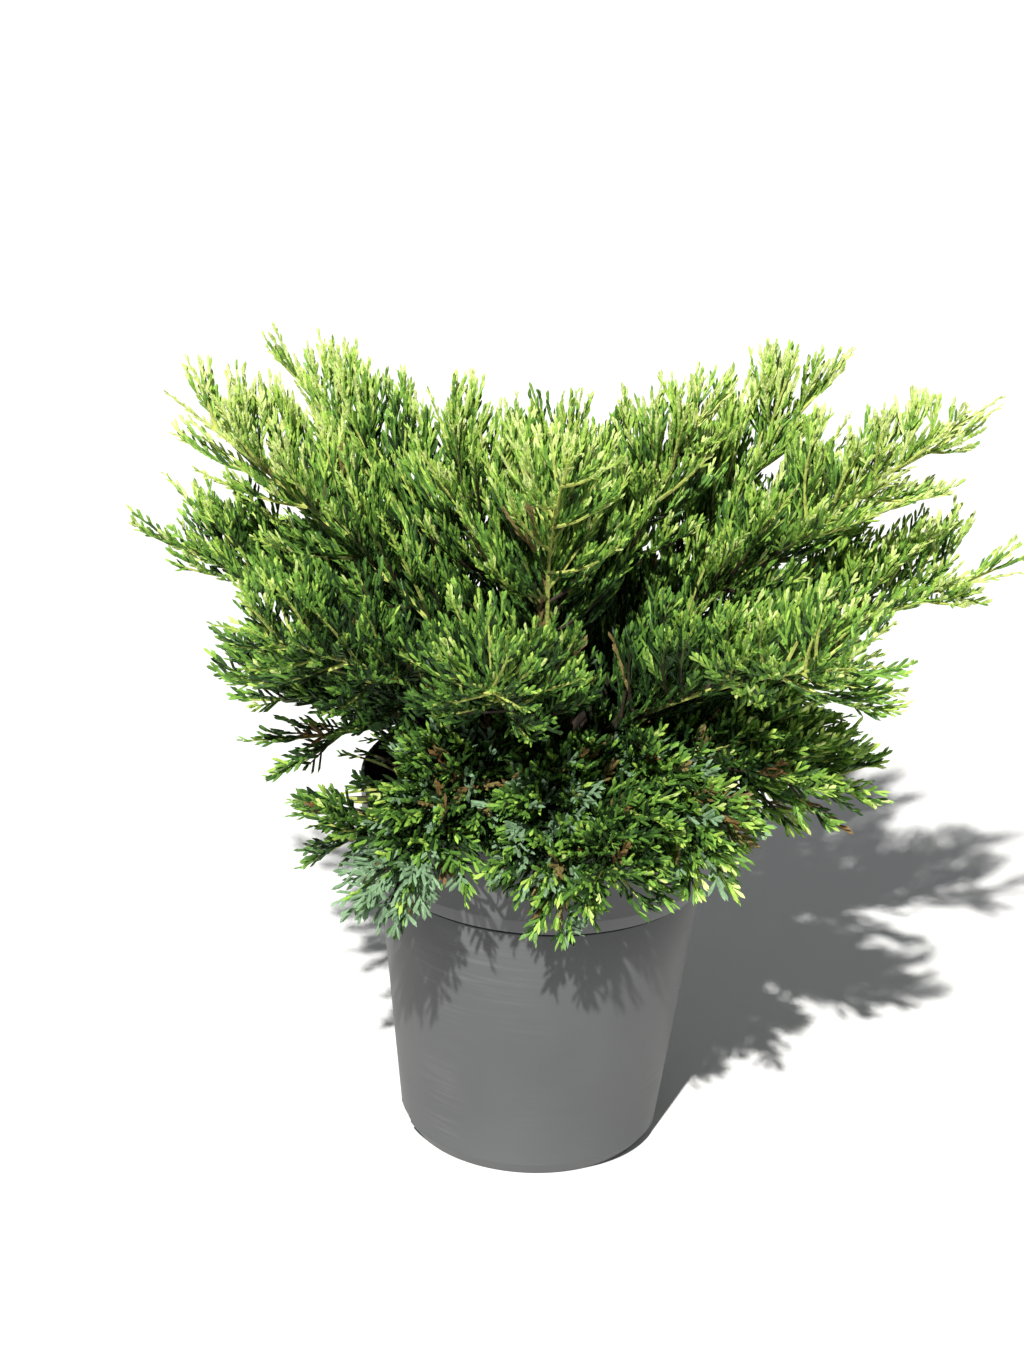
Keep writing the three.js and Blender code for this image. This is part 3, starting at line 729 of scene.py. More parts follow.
def colour_of(plume, share, item):
    """The colour slot of each spray: a green, or now and then blue green, straw or rust."""
    limb = plume["limb"]
    skirt = limb["tier"]["name"] == "skirt"
    low = skirt or limb["tier"]["name"] == "low"
    place = plume["curve"].points(share)
    draw = chance(limb["id"], plume["shoot"], item, 22)
    in_tuft = skirt & (place[:, 0] < TUFT_EDGE) & (place[:, 2] < TUFT_TOP)
    bloomed = in_tuft & (draw < TUFT_BLOOM_TO) | skirt & (draw < SKIRT_BLOOM_TO)
    inner = outerness(plume, share) < STRAW_WITHIN
    straw = inner & (draw > STRAW_FROM) | skirt & (draw > SKIRT_STRAW_FROM)
    rust = low & (draw > (SKIRT_RUST_FROM if skirt else RUST_FROM)) & ~straw
    slots = green_slots(tone_of(plume, share, item))
    for odd, name in ((bloomed, "blue_green"), (straw, "straw"), (rust, "rust")):
        slots = np.where(odd, LEAF_COLOURS.index(name), slots)
    return slots


def plume_sprays(plume, look):
    """The sprays of one plume, as arrays of their curve's control points, plane and colour."""
    limb = plume["limb"]
    tier = limb["tier"]
    skirt = tier["name"] == "skirt"
    room = (plume["whip"] - plume["leafy"]) * plume["curve"].length
    count = max(2, int(round(room / (look.spray_pitch / MM))))
    item = np.arange(count)
    part = (item + 0.5) / count
    share = mix(plume["leafy"], plume["whip"], part)
    keys = (limb["id"], plume["shoot"], item)
    base = plume["curve"].points(share)
    along = plume["curve"].along(share)
    sides = np.array(SPRAY_SIDES)[(item + plume["shoot"] * SPRAY_SIDE_STEP) % len(SPRAY_SIDES)]
    angle = np.radians(sides + jitter(SPRAY_SIDE_JITTER, *keys, 7))
    closing = mix(*SPRAY_CLOSING, part)
    lean = np.radians(tier["spray_lean"] * closing + jitter(SPRAY_LEAN_JITTER, *keys, 8))
    side = around(cross_axes(along), angle)
    first = along * column(np.cos(lean)) + side * column(np.sin(lean))
    last = unit(first * SPRAY_BEND + along + UP * tier["spray_rise"])
    slender = np.clip((outerness(plume, share) - SLENDER_FROM) / (1 - SLENDER_FROM), 0, 1) * tier["slender"]
    end_share = mix(SPRAY_END_SHARE, SLENDER_END_SHARE, slender)
    shrink = mix(1, end_share, np.clip(part * 2 - 1, 0, 1)) * tier["spray_share"]
    shrink *= 1 - (0 if skirt else UNDERSIDE_CUT) * np.clip(-side[:, 2], 0, 1)
    length = look.spray_length / MM * shrink * (1 + jitter(SPRAY_LENGTH_JITTER, *keys, 6))
    rise = (first[:, 2] + last[:, 2]) * length / 2
    length = length * np.clip((CROWN_TOP - base[:, 2]) / np.maximum(rise, 1), LOPPED_SHARE, 1)
    if skirt:
        hem = np.clip((base[:, 2] - HEM_FOOT) / HEM_DEPTH, HEM_SHARE, 1)
        length = length * np.where(base[:, 0] > TUFT_EDGE, hem, 1)
    bend = base + first * column(length / 2)
    end = bend + last * column(length / 2)
    flat = unit(np.cross(first, along))
    tilt = np.radians(jitter(SPRAY_TILT, *keys, 12))
    plane = unit(flat * column(np.cos(tilt)) + np.cross(first, flat) * column(np.sin(tilt)))
    return dict(
        base=base, bend=bend, end=end, plane=plane, length=length, colour=colour_of(plume, share, item),
        limb=np.full(count, limb["id"]), shoot=np.full(count, plume["shoot"]), item=item,
        lean=tier["finger_lean"] * mix(1, SLENDER_LEAN_SHARE, slender), slender=slender,
        rise=np.full(count, float(tier["spray_rise"])), girth=np.full(count, float(tier["girth"])),
    )


def stacked(parts):
    """Dictionaries of arrays joined end to end."""
    return {key: np.concatenate([part[key] for part in parts]) for key in parts[0]}


def spray_points(sprays, share):
    """A point and a direction on each spray's curve."""
    t = column(share)
    near = mix(sprays["base"], sprays["bend"], t)
    far = mix(sprays["bend"], sprays["end"], t)
    return mix(near, far, t), unit(far - near)


def seated_sprays(sprays):
    """The sprays whose stems are clear of the pot, the soil and the crown's bite."""
    keep = np.ones(len(sprays["length"]), dtype=bool)
    for share in SPRAY_CHECKS:
        points, _ = spray_points(sprays, np.full(len(keep), share))
        keep &= clear_of_pot(points, SPRAY_CLEARANCE) & clear_of_bite(points)
    return {key: values[keep] for key, values in sprays.items()}


def spray_fingers(sprays, look):
    """The fingers of all sprays: alternate to both sides in the spray's plane, and one at the end."""
    counts = np.round(sprays["length"] / (look.finger_pitch / MM))
    counts = np.clip(counts, FEWEST_FINGERS, MOST_FINGERS).astype(int)
    owner = np.repeat(np.arange(len(counts)), counts)
    place = np.arange(counts.sum()) - np.repeat(np.cumsum(counts) - counts, counts)
    count = counts[owner]
    own = {key: values[owner] for key, values in sprays.items()}
    keys = (own["limb"], own["shoot"], own["item"] * FINGER_DRAWS + place)
    last = place == count - 1
    share = np.where(last, END_FINGER_AT, (place + FINGER_START) / count)
    base, along = spray_points(own, share)
    across = unit(np.cross(own["plane"], along))
    sign = np.where((place + own["item"]) % 2 == 0, 1.0, -1.0)
    lean = np.radians(own["lean"] * mix(*FINGER_CLOSING, share) + jitter(FINGER_LEAN_JITTER, *keys, 13))
    lean = np.where(last, 0.0, lean)
    lift = jitter(FINGER_LIFT, *keys, 14)
    way = along * column(np.cos(lean)) + across * column(sign * np.sin(lean)) + own["plane"] * column(lift)
    way = way + UP * column(own["rise"] * FINGER_RISE_SHARE)
    profile = np.interp(share, *FINGER_PROFILE) * mix(1, SLENDER_FINGER_SHARE, own["slender"])
    length = look.finger_length / MM * profile * (1 + jitter(FINGER_LENGTH_JITTER, *keys, 15))
    width = look.finger_width / MM / 2 * own["girth"] * (1 + jitter(FINGER_WIDTH_JITTER, *keys, 16))
    # Painted shade toward a spray's root and painted light toward its end, with a finger's own draw.
    change = np.round(jitter(FINGER_TONE_JITTER, *keys, 17) + mix(*FINGER_TONES, share))
    colour = np.where(own["colour"] < len(GREENS), green_slots(own["colour"] + change), own["colour"])
    return dict(
        base=base, way=unit(way), ahead=along, plane=own["plane"], length=length, width=width, colour=colour,
    )


def whip_fingers(plume, look):
    """Short fingers pressed to the bare whip at the end of a plume."""
    room = (1 - plume["whip"]) * plume["curve"].length
    count = max(FEWEST_WHIP_FINGERS, int(round(room / WHIP_PITCH)))
    item = np.arange(count)
    part = (item + WHIP_START) / count
    share = mix(plume["whip"], 1, part)
    keys = (plume["limb"]["id"], plume["shoot"], item + WHIP_DRAWS_FROM)
    along = plume["curve"].along(share)
    turn = item * math.pi * WHIP_TURN + jitter(WHIP_TURN_JITTER, *keys, 18)
    side = around(cross_axes(along), turn)
    lean = np.radians(WHIP_LEAN + jitter(WHIP_LEAN_JITTER, *keys, 19))
    way = along * column(np.cos(lean)) + side * column(np.sin(lean))
    return dict(
        base=plume["curve"].points(share), way=way, ahead=along, plane=unit(np.cross(way, along)),
        length=WHIP_FINGER * mix(*WHIP_LENGTHS, part) * (1 + jitter(FINGER_LENGTH_JITTER, *keys, 15)),
        width=look.finger_width / MM / 2 * mix(*WHIP_WIDTHS, part),
        colour=green_slots(tone_of(plume, share, item) + WHIP_TONE),
    )


def clear_fingers(fingers):
    """The fingers whose ends are clear of the pot and soil."""
    ends = fingers["base"] + fingers["way"] * column(fingers["length"])
    keep = clear_of_pot(ends, FINGER_CLEARANCE)
    return {key: values[keep] for key, values in fingers.items()}


# Arrays of points and triangles.
def repeated_faces(template, count, corners):
    """One body's faces repeated for a number of bodies, each with the same number of corners."""
    return (template[None] + (np.arange(count) * corners)[:, None, None]).reshape(-1, 3)


def finger_arrays(fingers):
    """A closed body of ten faces for each finger: narrow at its root, full further on, and pointed."""
    way = fingers["way"]
    flat = unit(np.cross(fingers["plane"], way))
    thick = np.cross(way, flat)
    length = column(fingers["length"])
    width = column(fingers["width"])
    corners = []
    for ring, (reach, breadth) in enumerate(FINGER_RINGS):
        for side in range(3):
            angle = (side + 0.5 * ring) * 2 * math.pi / 3
            out = flat * math.cos(angle) + thick * math.sin(angle) * FINGER_THICKNESS
            corners.append(fingers["base"] + way * length * reach + out * width * breadth)
    bent = unit(way + fingers["ahead"] * FINGER_NOD)
    reach = FINGER_RINGS[-1][0]
    corners.append(fingers["base"] + way * length * reach + bent * length * (1 - reach))
    points = np.stack(corners, axis=1).reshape(-1, 3)
    faces = repeated_faces(FINGER_FACES, len(way), FINGER_CORNERS)
    return points, faces, np.repeat(fingers["colour"], len(FINGER_FACES))


def tube_faces(rings, sides):
    """The faces of a closed tube that ends in a point, for its rings of points and then its tip."""
    faces = []
    for ring in range(rings - 1):
        for side in range(sides):
            a = ring * sides + side
            b = ring * sides + (side + 1) % sides
            faces += [(a, b, b + sides), (a, b + sides, a + sides)]
    last = (rings - 1) * sides
    for side in range(sides):
        faces.append((last + side, last + (side + 1) % sides, rings * sides))
    for side in range(1, sides - 1):
        faces.append((0, side + 1, side))
    return np.array(faces)


def spray_stem_arrays(sprays):
    """The slim curved stems of all sprays."""
    corners = []
    for share, radius in zip(SPRAY_STEM_SHARES, SPRAY_STEM_RADII):
        centre, along = spray_points(sprays, np.full(len(sprays["length"]), share))
        flat = unit(np.cross(sprays["plane"], along))
        thick = np.cross(along, flat)
        for side in range(3):
            angle = side * 2 * math.pi / 3
            corners.append(centre + (flat * math.cos(angle) + thick * math.sin(angle)) * radius)
    corners.append(sprays["end"])
    points = np.stack(corners, axis=1)
    template = tube_faces(len(SPRAY_STEM_SHARES), 3)
    faces = repeated_faces(template, len(points), points.shape[1])
    return points.reshape(-1, 3), faces, np.repeat(sprays["colour"], len(template))


def stem_arrays(plume):
    """The woody stem of one plume, brown within, then olive and lime toward its tip."""
    curve = plume["curve"]
    tucked = max(0.0, plume["start"] - STEM_TUCK)
    start = tucked if plume["shoot"] == 0 else 0.0
    rings = max(FEWEST_STEM_RINGS, int(round(curve.length * (1 - start) / STEM_PITCH)))
    part = np.arange(rings) / rings
    share = mix(start, 1, part)
    radius = mix(plume["radius"], STEM_TIP_RADIUS, part**STEM_TAPER)
    centre = curve.points(share)
    axes = cross_axes(curve.along(share))
    corners = []
    for side in range(STEM_SIDES):
        angle = np.full(rings, side * 2 * math.pi / STEM_SIDES)
        corners.append(centre + around(axes, angle) * column(radius))
    points = np.concatenate([np.stack(corners, axis=1).reshape(-1, 3), curve.points(1.0)])
    faces = tube_faces(rings, STEM_SIDES)
    age = jitter(STEM_AGE_JITTER, plume["limb"]["id"], plume["shoot"], 0, 23)
    outward = outerness(plume, share) + age
    leading = plume["shoot"] == 0 or is_runner(plume["shoot"])
    young = plume["limb"]["tier"]["woody"] - (LEADER_YOUTH if leading else 0)
    slot = np.where(outward < young - OLIVE_SHARE, 0, np.where(outward < young, 1, 2))
    of_face = np.minimum(faces.min(axis=1) // STEM_SIDES, rings - 1)
    of_face[-(STEM_SIDES - 2):] = 0
    return points, faces, slot[of_face]


def joined_arrays(parts):
    """Arrays of points, faces and slots joined into one set."""
    offset = 0
    points, faces, slots = [], [], []
    for part_points, part_faces, part_slots in parts:
        points.append(part_points)
        faces.append(part_faces + offset)
        slots.append(part_slots)
        offset += len(part_points)
    return np.concatenate(points), np.concatenate(faces), np.concatenate(slots)


def mesh_piece(name, points, faces, slots, materials):
    """An object at the origin from arrays in millimetres, with a material for each slot."""
    mesh = bpy.data.meshes.new(name)
    mesh.vertices.add(len(points))
    mesh.vertices.foreach_set("co", (points * MM).astype(np.float32).ravel())
    mesh.loops.add(faces.size)
    mesh.loops.foreach_set("vertex_index", faces.astype(np.int32).ravel())
    mesh.polygons.add(len(faces))
    mesh.polygons.foreach_set("loop_start", np.arange(0, faces.size, 3, dtype=np.int32))
    for material in materials:
        mesh.materials.append(material)
    mesh.polygons.foreach_set("material_index", slots.astype(np.int32))
    mesh.update(calc_edges=True)
    mesh.polygons.foreach_set("use_smooth", np.zeros(len(faces), dtype=bool))
    mesh.validate()
    piece = bpy.data.objects.new(name, mesh)
    bpy.context.scene.collection.objects.link(piece)
    return piece


# Work with bpy.ops.
def clear_selection():
    """Leaves nothing selected, in object mode."""
    if bpy.context.object and bpy.context.object.mode != "OBJECT":
        bpy.ops.object.mode_set(mode="OBJECT")
    bpy.ops.object.select_all(action="DESELECT")


def take_up(piece):
    """Leaves only this piece selected and active, in object mode."""
    clear_selection()
    piece.select_set(True)
    bpy.context.view_layer.objects.active = piece


def settle(piece):
    """Puts a finished object's place and size into its mesh."""
    take_up(piece)
    bpy.ops.object.transform_apply(location=True, rotation=True, scale=True)


def drawn_up(name, sides, outline):
    """A closed body drawn up from a disc, ring by ring, along an outline of radii and heights in metres."""
    clear_selection()
    radius, height = outline[0]
    place = (0, 0, height)
    bpy.ops.mesh.primitive_circle_add(vertices=sides, radius=radius, fill_type="NGON", location=place)
    piece = bpy.context.object
    piece.name = name
    piece.data.name = name
    bpy.ops.object.mode_set(mode="EDIT")
    bpy.ops.mesh.select_all(action="SELECT")
    for (last_radius, last_height), (radius, height) in zip(outline, outline[1:]):
        rise = height - last_height
        growth = radius / last_radius
        bpy.ops.mesh.extrude_region_move(TRANSFORM_OT_translate={"value": (0, 0, rise)})
        bpy.ops.transform.resize(value=(growth, growth, 1), center_override=(0, 0, height))
    bpy.ops.mesh.select_all(action="SELECT")
    bpy.ops.mesh.normals_make_consistent(inside=False)
    bpy.ops.object.mode_set(mode="OBJECT")
    settle(piece)
    return piece


def cut_away(piece, cutter):
    """Cuts a solid out of a piece and removes the cutter."""
    take_up(piece)
    cut = piece.modifiers.new("cut", "BOOLEAN")
    cut.operation = "DIFFERENCE"
    cut.solver = "EXACT"
    cut.object = cutter
    bpy.ops.object.modifier_apply(modifier=cut.name)
    bpy.data.objects.remove(cutter, do_unlink=True)


def smooth_by_angle(piece, degrees):
    """Shades a piece smooth except across edges sharper than an angle."""
    take_up(piece)
    bpy.ops.object.shade_smooth_by_angle(angle=math.radians(degrees))


def reshape(piece, place):
    """Moves every vertex of a piece to where a function of its place puts it, in metres."""
    points = np.zeros(len(piece.data.vertices) * 3)
    piece.data.vertices.foreach_get("co", points)
    moved = place(points.reshape(-1, 3))
    piece.data.vertices.foreach_set("co", moved.ravel())
    piece.data.update()


def recalculate_normals(piece):
    """Turns a closed piece's faces outward."""
    work = bmesh.new()
    work.from_mesh(piece.data)
    bmesh.ops.recalc_face_normals(work, faces=work.faces)
    work.to_mesh(piece.data)
    work.free()


def hand_over(piece, slot, *nodes):
    """Makes a piece ride on the plant's body and stand for its nodes."""
    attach(piece, "root")
    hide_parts(*nodes)


# Materials.
def give_finish(piece, material):
    """Gives a piece one material all over."""
    piece.data.materials.clear()
    piece.data.materials.append(material)


def new_group(name, texture, inputs, outputs):
    """A shader node group with named sockets, and a texture in it on drawn out Object coordinates."""
    group = bpy.data.node_groups.new(name, "ShaderNodeTree")
    for label, kind, value in inputs:
        socket = group.interface.new_socket(name=label, in_out="INPUT", socket_type=kind)
        socket.default_value = value
    for label, kind in outputs:
        group.interface.new_socket(name=label, in_out="OUTPUT", socket_type=kind)
    enter = group.nodes.new("NodeGroupInput")
    leave = group.nodes.new("NodeGroupOutput")
    place = group.nodes.new("ShaderNodeTexCoord")
    stretch = group.nodes.new("ShaderNodeVectorMath")
    stretch.operation = "MULTIPLY"
    pattern = group.nodes.new(texture)
    group.links.new(place.outputs["Object"], stretch.inputs[0])
    group.links.new(enter.outputs["Drawn Out"], stretch.inputs[1])
    group.links.new(stretch.outputs["Vector"], pattern.inputs["Vector"])
    group.links.new(enter.outputs["Size"], pattern.inputs["Scale"])
    return group, enter, pattern, leave


def mottle_group():
    """Two shades in soft patches that can be drawn out into streaks, for every finish here."""
    name = "mottle"
    if name in bpy.data.node_groups:
        return bpy.data.node_groups[name]
    inputs = (
        ("Base", "NodeSocketColor", (0.5, 0.5, 0.5, 1)),
        ("Shade", "NodeSocketColor", (0.3, 0.3, 0.3, 1)),
        ("Size", "NodeSocketFloat", 100.0),
        ("Drawn Out", "NodeSocketVector", (1, 1, 1)),
        ("Low", "NodeSocketFloat", 0.4),
        ("High", "NodeSocketFloat", 0.6),
    )
    outputs = (("Color", "NodeSocketColor"), ("Mask", "NodeSocketFloat"))
    group, enter, patches, leave = new_group(name, "ShaderNodeTexNoise", inputs, outputs)
    patches.inputs["Detail"].default_value = 3
    spread = group.nodes.new("ShaderNodeMapRange")
    blend = group.nodes.new("ShaderNodeMix")
    blend.data_type = "RGBA"
    link = group.links.new
    link(patches.outputs["Fac"], spread.inputs["Value"])
    link(enter.outputs["Low"], spread.inputs["From Min"])
    link(enter.outputs["High"], spread.inputs["From Max"])
    link(spread.outputs["Result"], blend.inputs["Factor"])
    link(enter.outputs["Base"], blend.inputs["A"])
    link(enter.outputs["Shade"], blend.inputs["B"])
    link(blend.outputs["Result"], leave.inputs["Color"])
    link(spread.outputs["Result"], leave.inputs["Mask"])
    return group


def relief_group():
    """Small raised cells or grains, as a bumped normal."""
    name = "relief"
    if name in bpy.data.node_groups:
        return bpy.data.node_groups[name]
    inputs = (
        ("Size", "NodeSocketFloat", 500.0),
        ("Drawn Out", "NodeSocketVector", (1, 1, 1)),
        ("Strength", "NodeSocketFloat", 0.4),
        ("Distance", "NodeSocketFloat", 0.0003),
    )
    outputs = (("Normal", "NodeSocketVector"), ("Height", "NodeSocketFloat"))
    group, enter, cells, leave = new_group(name, "ShaderNodeTexVoronoi", inputs, outputs)
    bump = group.nodes.new("ShaderNodeBump")
    bump.invert = True
    link = group.links.new
    link(cells.outputs["Distance"], bump.inputs["Height"])
    link(enter.outputs["Strength"], bump.inputs["Strength"])
    link(enter.outputs["Distance"], bump.inputs["Distance"])
    link(bump.outputs["Normal"], leave.inputs["Normal"])
    link(cells.outputs["Distance"], leave.inputs["Height"])
    return group


def placed_group(material, group, **values):
    """A node group placed in a material with its own values."""
    node = material.node_tree.nodes.new("ShaderNodeGroup")
    node.node_tree = group
    for label, value in values.items():
        node.inputs[label.replace("_", " ")].default_value = value
    return node


def shaded(colour, share):
    """A colour made darker or lighter."""
    return tuple(min(1.0, part * share) for part in colour)


def finish(name, base, dark, roughness, patches, relief, specular=PLAIN_SPECULAR):
    """A material of a colour and a darker shade of it, mottled, with a fine relief."""
    if name in bpy.data.materials:
        return bpy.data.materials[name]
    material = bpy.data.materials.new(name)
    material.use_nodes = True
    material.diffuse_color = (*base, 1)
    shader = material.node_tree.nodes["Principled BSDF"]
    shader.inputs["Roughness"].default_value = roughness
    shader.inputs["Specular IOR Level"].default_value = specular
    link = material.node_tree.links.new
    shade = shaded(base, dark)
    mottled = placed_group(material, mottle_group(), Base=(*base, 1), Shade=(*shade, 1), **patches)
    link(mottled.outputs["Color"], shader.inputs["Base Color"])
    raised = placed_group(material, relief_group(), **relief)
    link(raised.outputs["Normal"], shader.inputs["Normal"])
    return material


def like_finishes(names, colours, values):
    """A material for each of these colours, all with the same finish."""
    return [finish(name, tuple(getattr(colours, name)), **values) for name in names]


def bark_material(colours):
    """Thin flaking bark, drawn out along the wood."""
    return finish("flaking_bark", tuple(colours.bark), **BARK_FINISH)


def product(tree, first, second):
    """A number socket times another socket, or times a plain number."""
    node = tree.nodes.new("ShaderNodeMath")
    node.operation = "MULTIPLY"
    tree.links.new(first, node.inputs[0])
    if isinstance(second, float):
        node.inputs[1].default_value = second
    else:
        tree.links.new(second, node.inputs[1])
    return node.outputs[0]


def ranged(tree, value, **ends):
    """A number socket brought into a range, by the ends that aren't 0 and 1."""
    node = tree.nodes.new("ShaderNodeMapRange")
    tree.links.new(value, node.inputs["Value"])
    for label, end in ends.items():
        node.inputs[label.replace("_", " ")].default_value = end
    return node.outputs["Result"]


def pot_material(colours):
    """Matt grey plastic with soft blotches, and faint level scuffs that are strongest at the left."""
    material = finish("pot_plastic", tuple(colours.pot), **POT_FINISH)
    tree = material.node_tree
    shader = tree.nodes["Principled BSDF"]
    body = shader.inputs["Base Color"].links[0].from_socket
    streaks = placed_group(material, mottle_group(), **SCUFF_STREAKS)
    worn = placed_group(material, mottle_group(), **SCUFF_PATCHES)
    both = product(tree, streaks.outputs["Mask"], worn.outputs["Mask"])
    place = tree.nodes.new("ShaderNodeTexCoord")
    apart = tree.nodes.new("ShaderNodeSeparateXYZ")
    tree.links.new(place.outputs["Object"], apart.inputs[0])
    leftward = ranged(
        tree, apart.outputs["X"], From_Min=SCUFF_FROM * MM, From_Max=SCUFF_TO * MM, To_Min=SCUFF_LEAST,
    )
    blend = tree.nodes.new("ShaderNodeMix")
    blend.data_type = "RGBA"
    blend.inputs["B"].default_value = (*colours.pot_scuff, 1)
    tree.links.new(product(tree, product(tree, both, leftward), SCUFF_SHARE), blend.inputs["Factor"])
    tree.links.new(body, blend.inputs["A"])
    tree.links.new(blend.outputs["Result"], shader.inputs["Base Color"])
    rough = ranged(tree, both, To_Min=SMOOTH_ROUGHNESS, To_Max=SCUFFED_ROUGHNESS)
    tree.links.new(rough, shader.inputs["Roughness"])
    return material


# Pot and soil.
def quarter(centre, radius, start, stop, steps=4):
    """Points on an arc in the plane of radius and height, by angles from outward to upward."""
    turns = np.radians(np.linspace(start, stop, steps + 1))
    return [(centre[0] + radius * math.cos(turn), centre[1] + radius * math.sin(turn)) for turn in turns]


def in_metres(outline):
    """An outline of radii and heights, from millimetres."""
    return [(radius * MM, height * MM) for radius, height in outline]


def pot_outline():
    """The pot's wall from the foot's edge up the outside, over the rim and down the inside."""
    groove_foot = COLLAR_FOOT - GROOVE_HEIGHT
    shoulder = float(pot_radius(np.array(groove_foot)))
    edge = EDGE_ROUNDING
    lip = POT_WALL / 2
    outline = quarter((FOOT_RADIUS - edge, edge), edge, -90, 0, 3)
    outline += quarter((HEEL_RADIUS - edge, HEEL_HEIGHT - edge / 2), edge, -20, 30, 3)
    for share in (0.25, 0.5, 0.75):
        outline.append((mix(HEEL_RADIUS, shoulder, share), mix(HEEL_HEIGHT, groove_foot, share)))
    outline += quarter((shoulder - GROOVE_EDGE, groove_foot - GROOVE_EDGE), GROOVE_EDGE, 0, 90, 2)
    outline += [
        (shoulder - GROOVE_DEPTH, groove_foot + GROOVE_CORNER),
        (shoulder - GROOVE_DEPTH, COLLAR_FOOT - GROOVE_CORNER),
        (COLLAR_FOOT_RADIUS - GROOVE_EDGE, COLLAR_FOOT),
    ]
    outline += quarter((COLLAR_FOOT_RADIUS - GROOVE_EDGE, COLLAR_FOOT + GROOVE_EDGE), GROOVE_EDGE, -60, 0, 2)
    outline += quarter((COLLAR_RADIUS - COLLAR_BEVEL, COLLAR_BEVEL_TOP - 0.6), COLLAR_BEVEL, -12, 4, 3)
    outline.append((mix(COLLAR_RADIUS, RIM_RADIUS, 0.5), mix(COLLAR_BEVEL_TOP, POT_HEIGHT, 0.5)))
    outline += quarter((RIM_RADIUS - lip, POT_HEIGHT - lip), lip, 0, 180, 8)
    outline += [
        (COLLAR_RADIUS - POT_WALL, COLLAR_BEVEL_TOP),
        (SHOULDER_RADIUS - GROOVE_DEPTH - POT_WALL, groove_foot - 2),
        (mix(SHOULDER_RADIUS, HEEL_RADIUS, 0.5) - POT_WALL, mix(groove_foot, HEEL_HEIGHT, 0.5)),
        (HEEL_RADIUS - POT_WALL, HEEL_HEIGHT),
        (FOOT_RADIUS - POT_WALL, FLOOR_THICKNESS + 1),
        (FOOT_RADIUS - POT_WALL - 1, FLOOR_THICKNESS),
    ]
    return in_metres(outline)


def slot_cutter(side):
    """A block for one of the heel's slots."""
    clear_selection()
    turn = math.radians(SLOT_TURN)
    reach = side * HEEL_RADIUS * MM
    place = (reach * math.cos(turn), reach * math.sin(turn), (SLOT_FOOT + SLOT_HEIGHT / 2) * MM)
    bpy.ops.mesh.primitive_cube_add(size=1, location=place)
    cutter = bpy.context.object
    cutter.scale = (2 * SLOT_HEIGHT * MM, SLOT_WIDTH * MM, SLOT_HEIGHT * MM)
    cutter.rotation_euler = (0, 0, turn)
    settle(cutter)
    return cutter


def drain_cutter(hole):
    """A round drain hole's solid."""
    clear_selection()
    angle = (hole + 0.5) / DRAIN_COUNT * 2 * math.pi
    place = (DRAIN_CIRCLE * math.cos(angle) * MM, DRAIN_CIRCLE * math.sin(angle) * MM, 0)
    bpy.ops.mesh.primitive_cylinder_add(
        vertices=DRAIN_SIDES, radius=DRAIN_RADIUS * MM, depth=4 * FLOOR_THICKNESS * MM, location=place,
    )
    return bpy.context.object


def make_pot(settings):
    """The pot's shell."""
    pot = drawn_up("pot_shell", settings.pot.sides, pot_outline())
    for side in (-1, 1):
        cut_away(pot, slot_cutter(side))
    for hole in range(DRAIN_COUNT):
        cut_away(pot, drain_cutter(hole))
    smooth_by_angle(pot, POT_SHARP_EDGE)
    give_finish(pot, pot_material(settings.colours))
    hand_over(pot, "pot", "pot")


def soil_rim(gap=GAP):
    """The radius of the soil's top, with a gap to the pot."""
    return float(pot_radius(np.array(SOIL_EDGE))) - POT_WALL - gap


def soil_height(radius):
    """The soil's height at a radius: level by the trunk, and falling to the edge."""
    share = np.clip((radius - SOIL_LEVEL_RADIUS) / (soil_rim() - SOIL_LEVEL_RADIUS), 0, 1)
    return mix(SOIL_TOP, SOIL_EDGE, share)


def soil_outline():
    """The soil's body from its underside to the top, in metres."""
    throat = SHOULDER_RADIUS - GROOVE_DEPTH - POT_WALL - GAP
    outline = [
        (FOOT_RADIUS - POT_WALL - 3 * GAP - 1, FLOOR_THICKNESS + GAP),
        (HEEL_RADIUS - POT_WALL - GAP, HEEL_HEIGHT + 1),
        (throat, COLLAR_FOOT - GROOVE_HEIGHT - 2),
        (COLLAR_RADIUS - POT_WALL - GAP, COLLAR_BEVEL_TOP + GAP),
    ]
    for share in np.linspace(0, 1, SOIL_RINGS)[:-1]:
        radius = mix(soil_rim(), SOIL_MIDDLE_RADIUS, share)
        outline.append((radius, SOIL_EDGE if share == 0 else soil_height(radius)))
    return in_metres(outline)


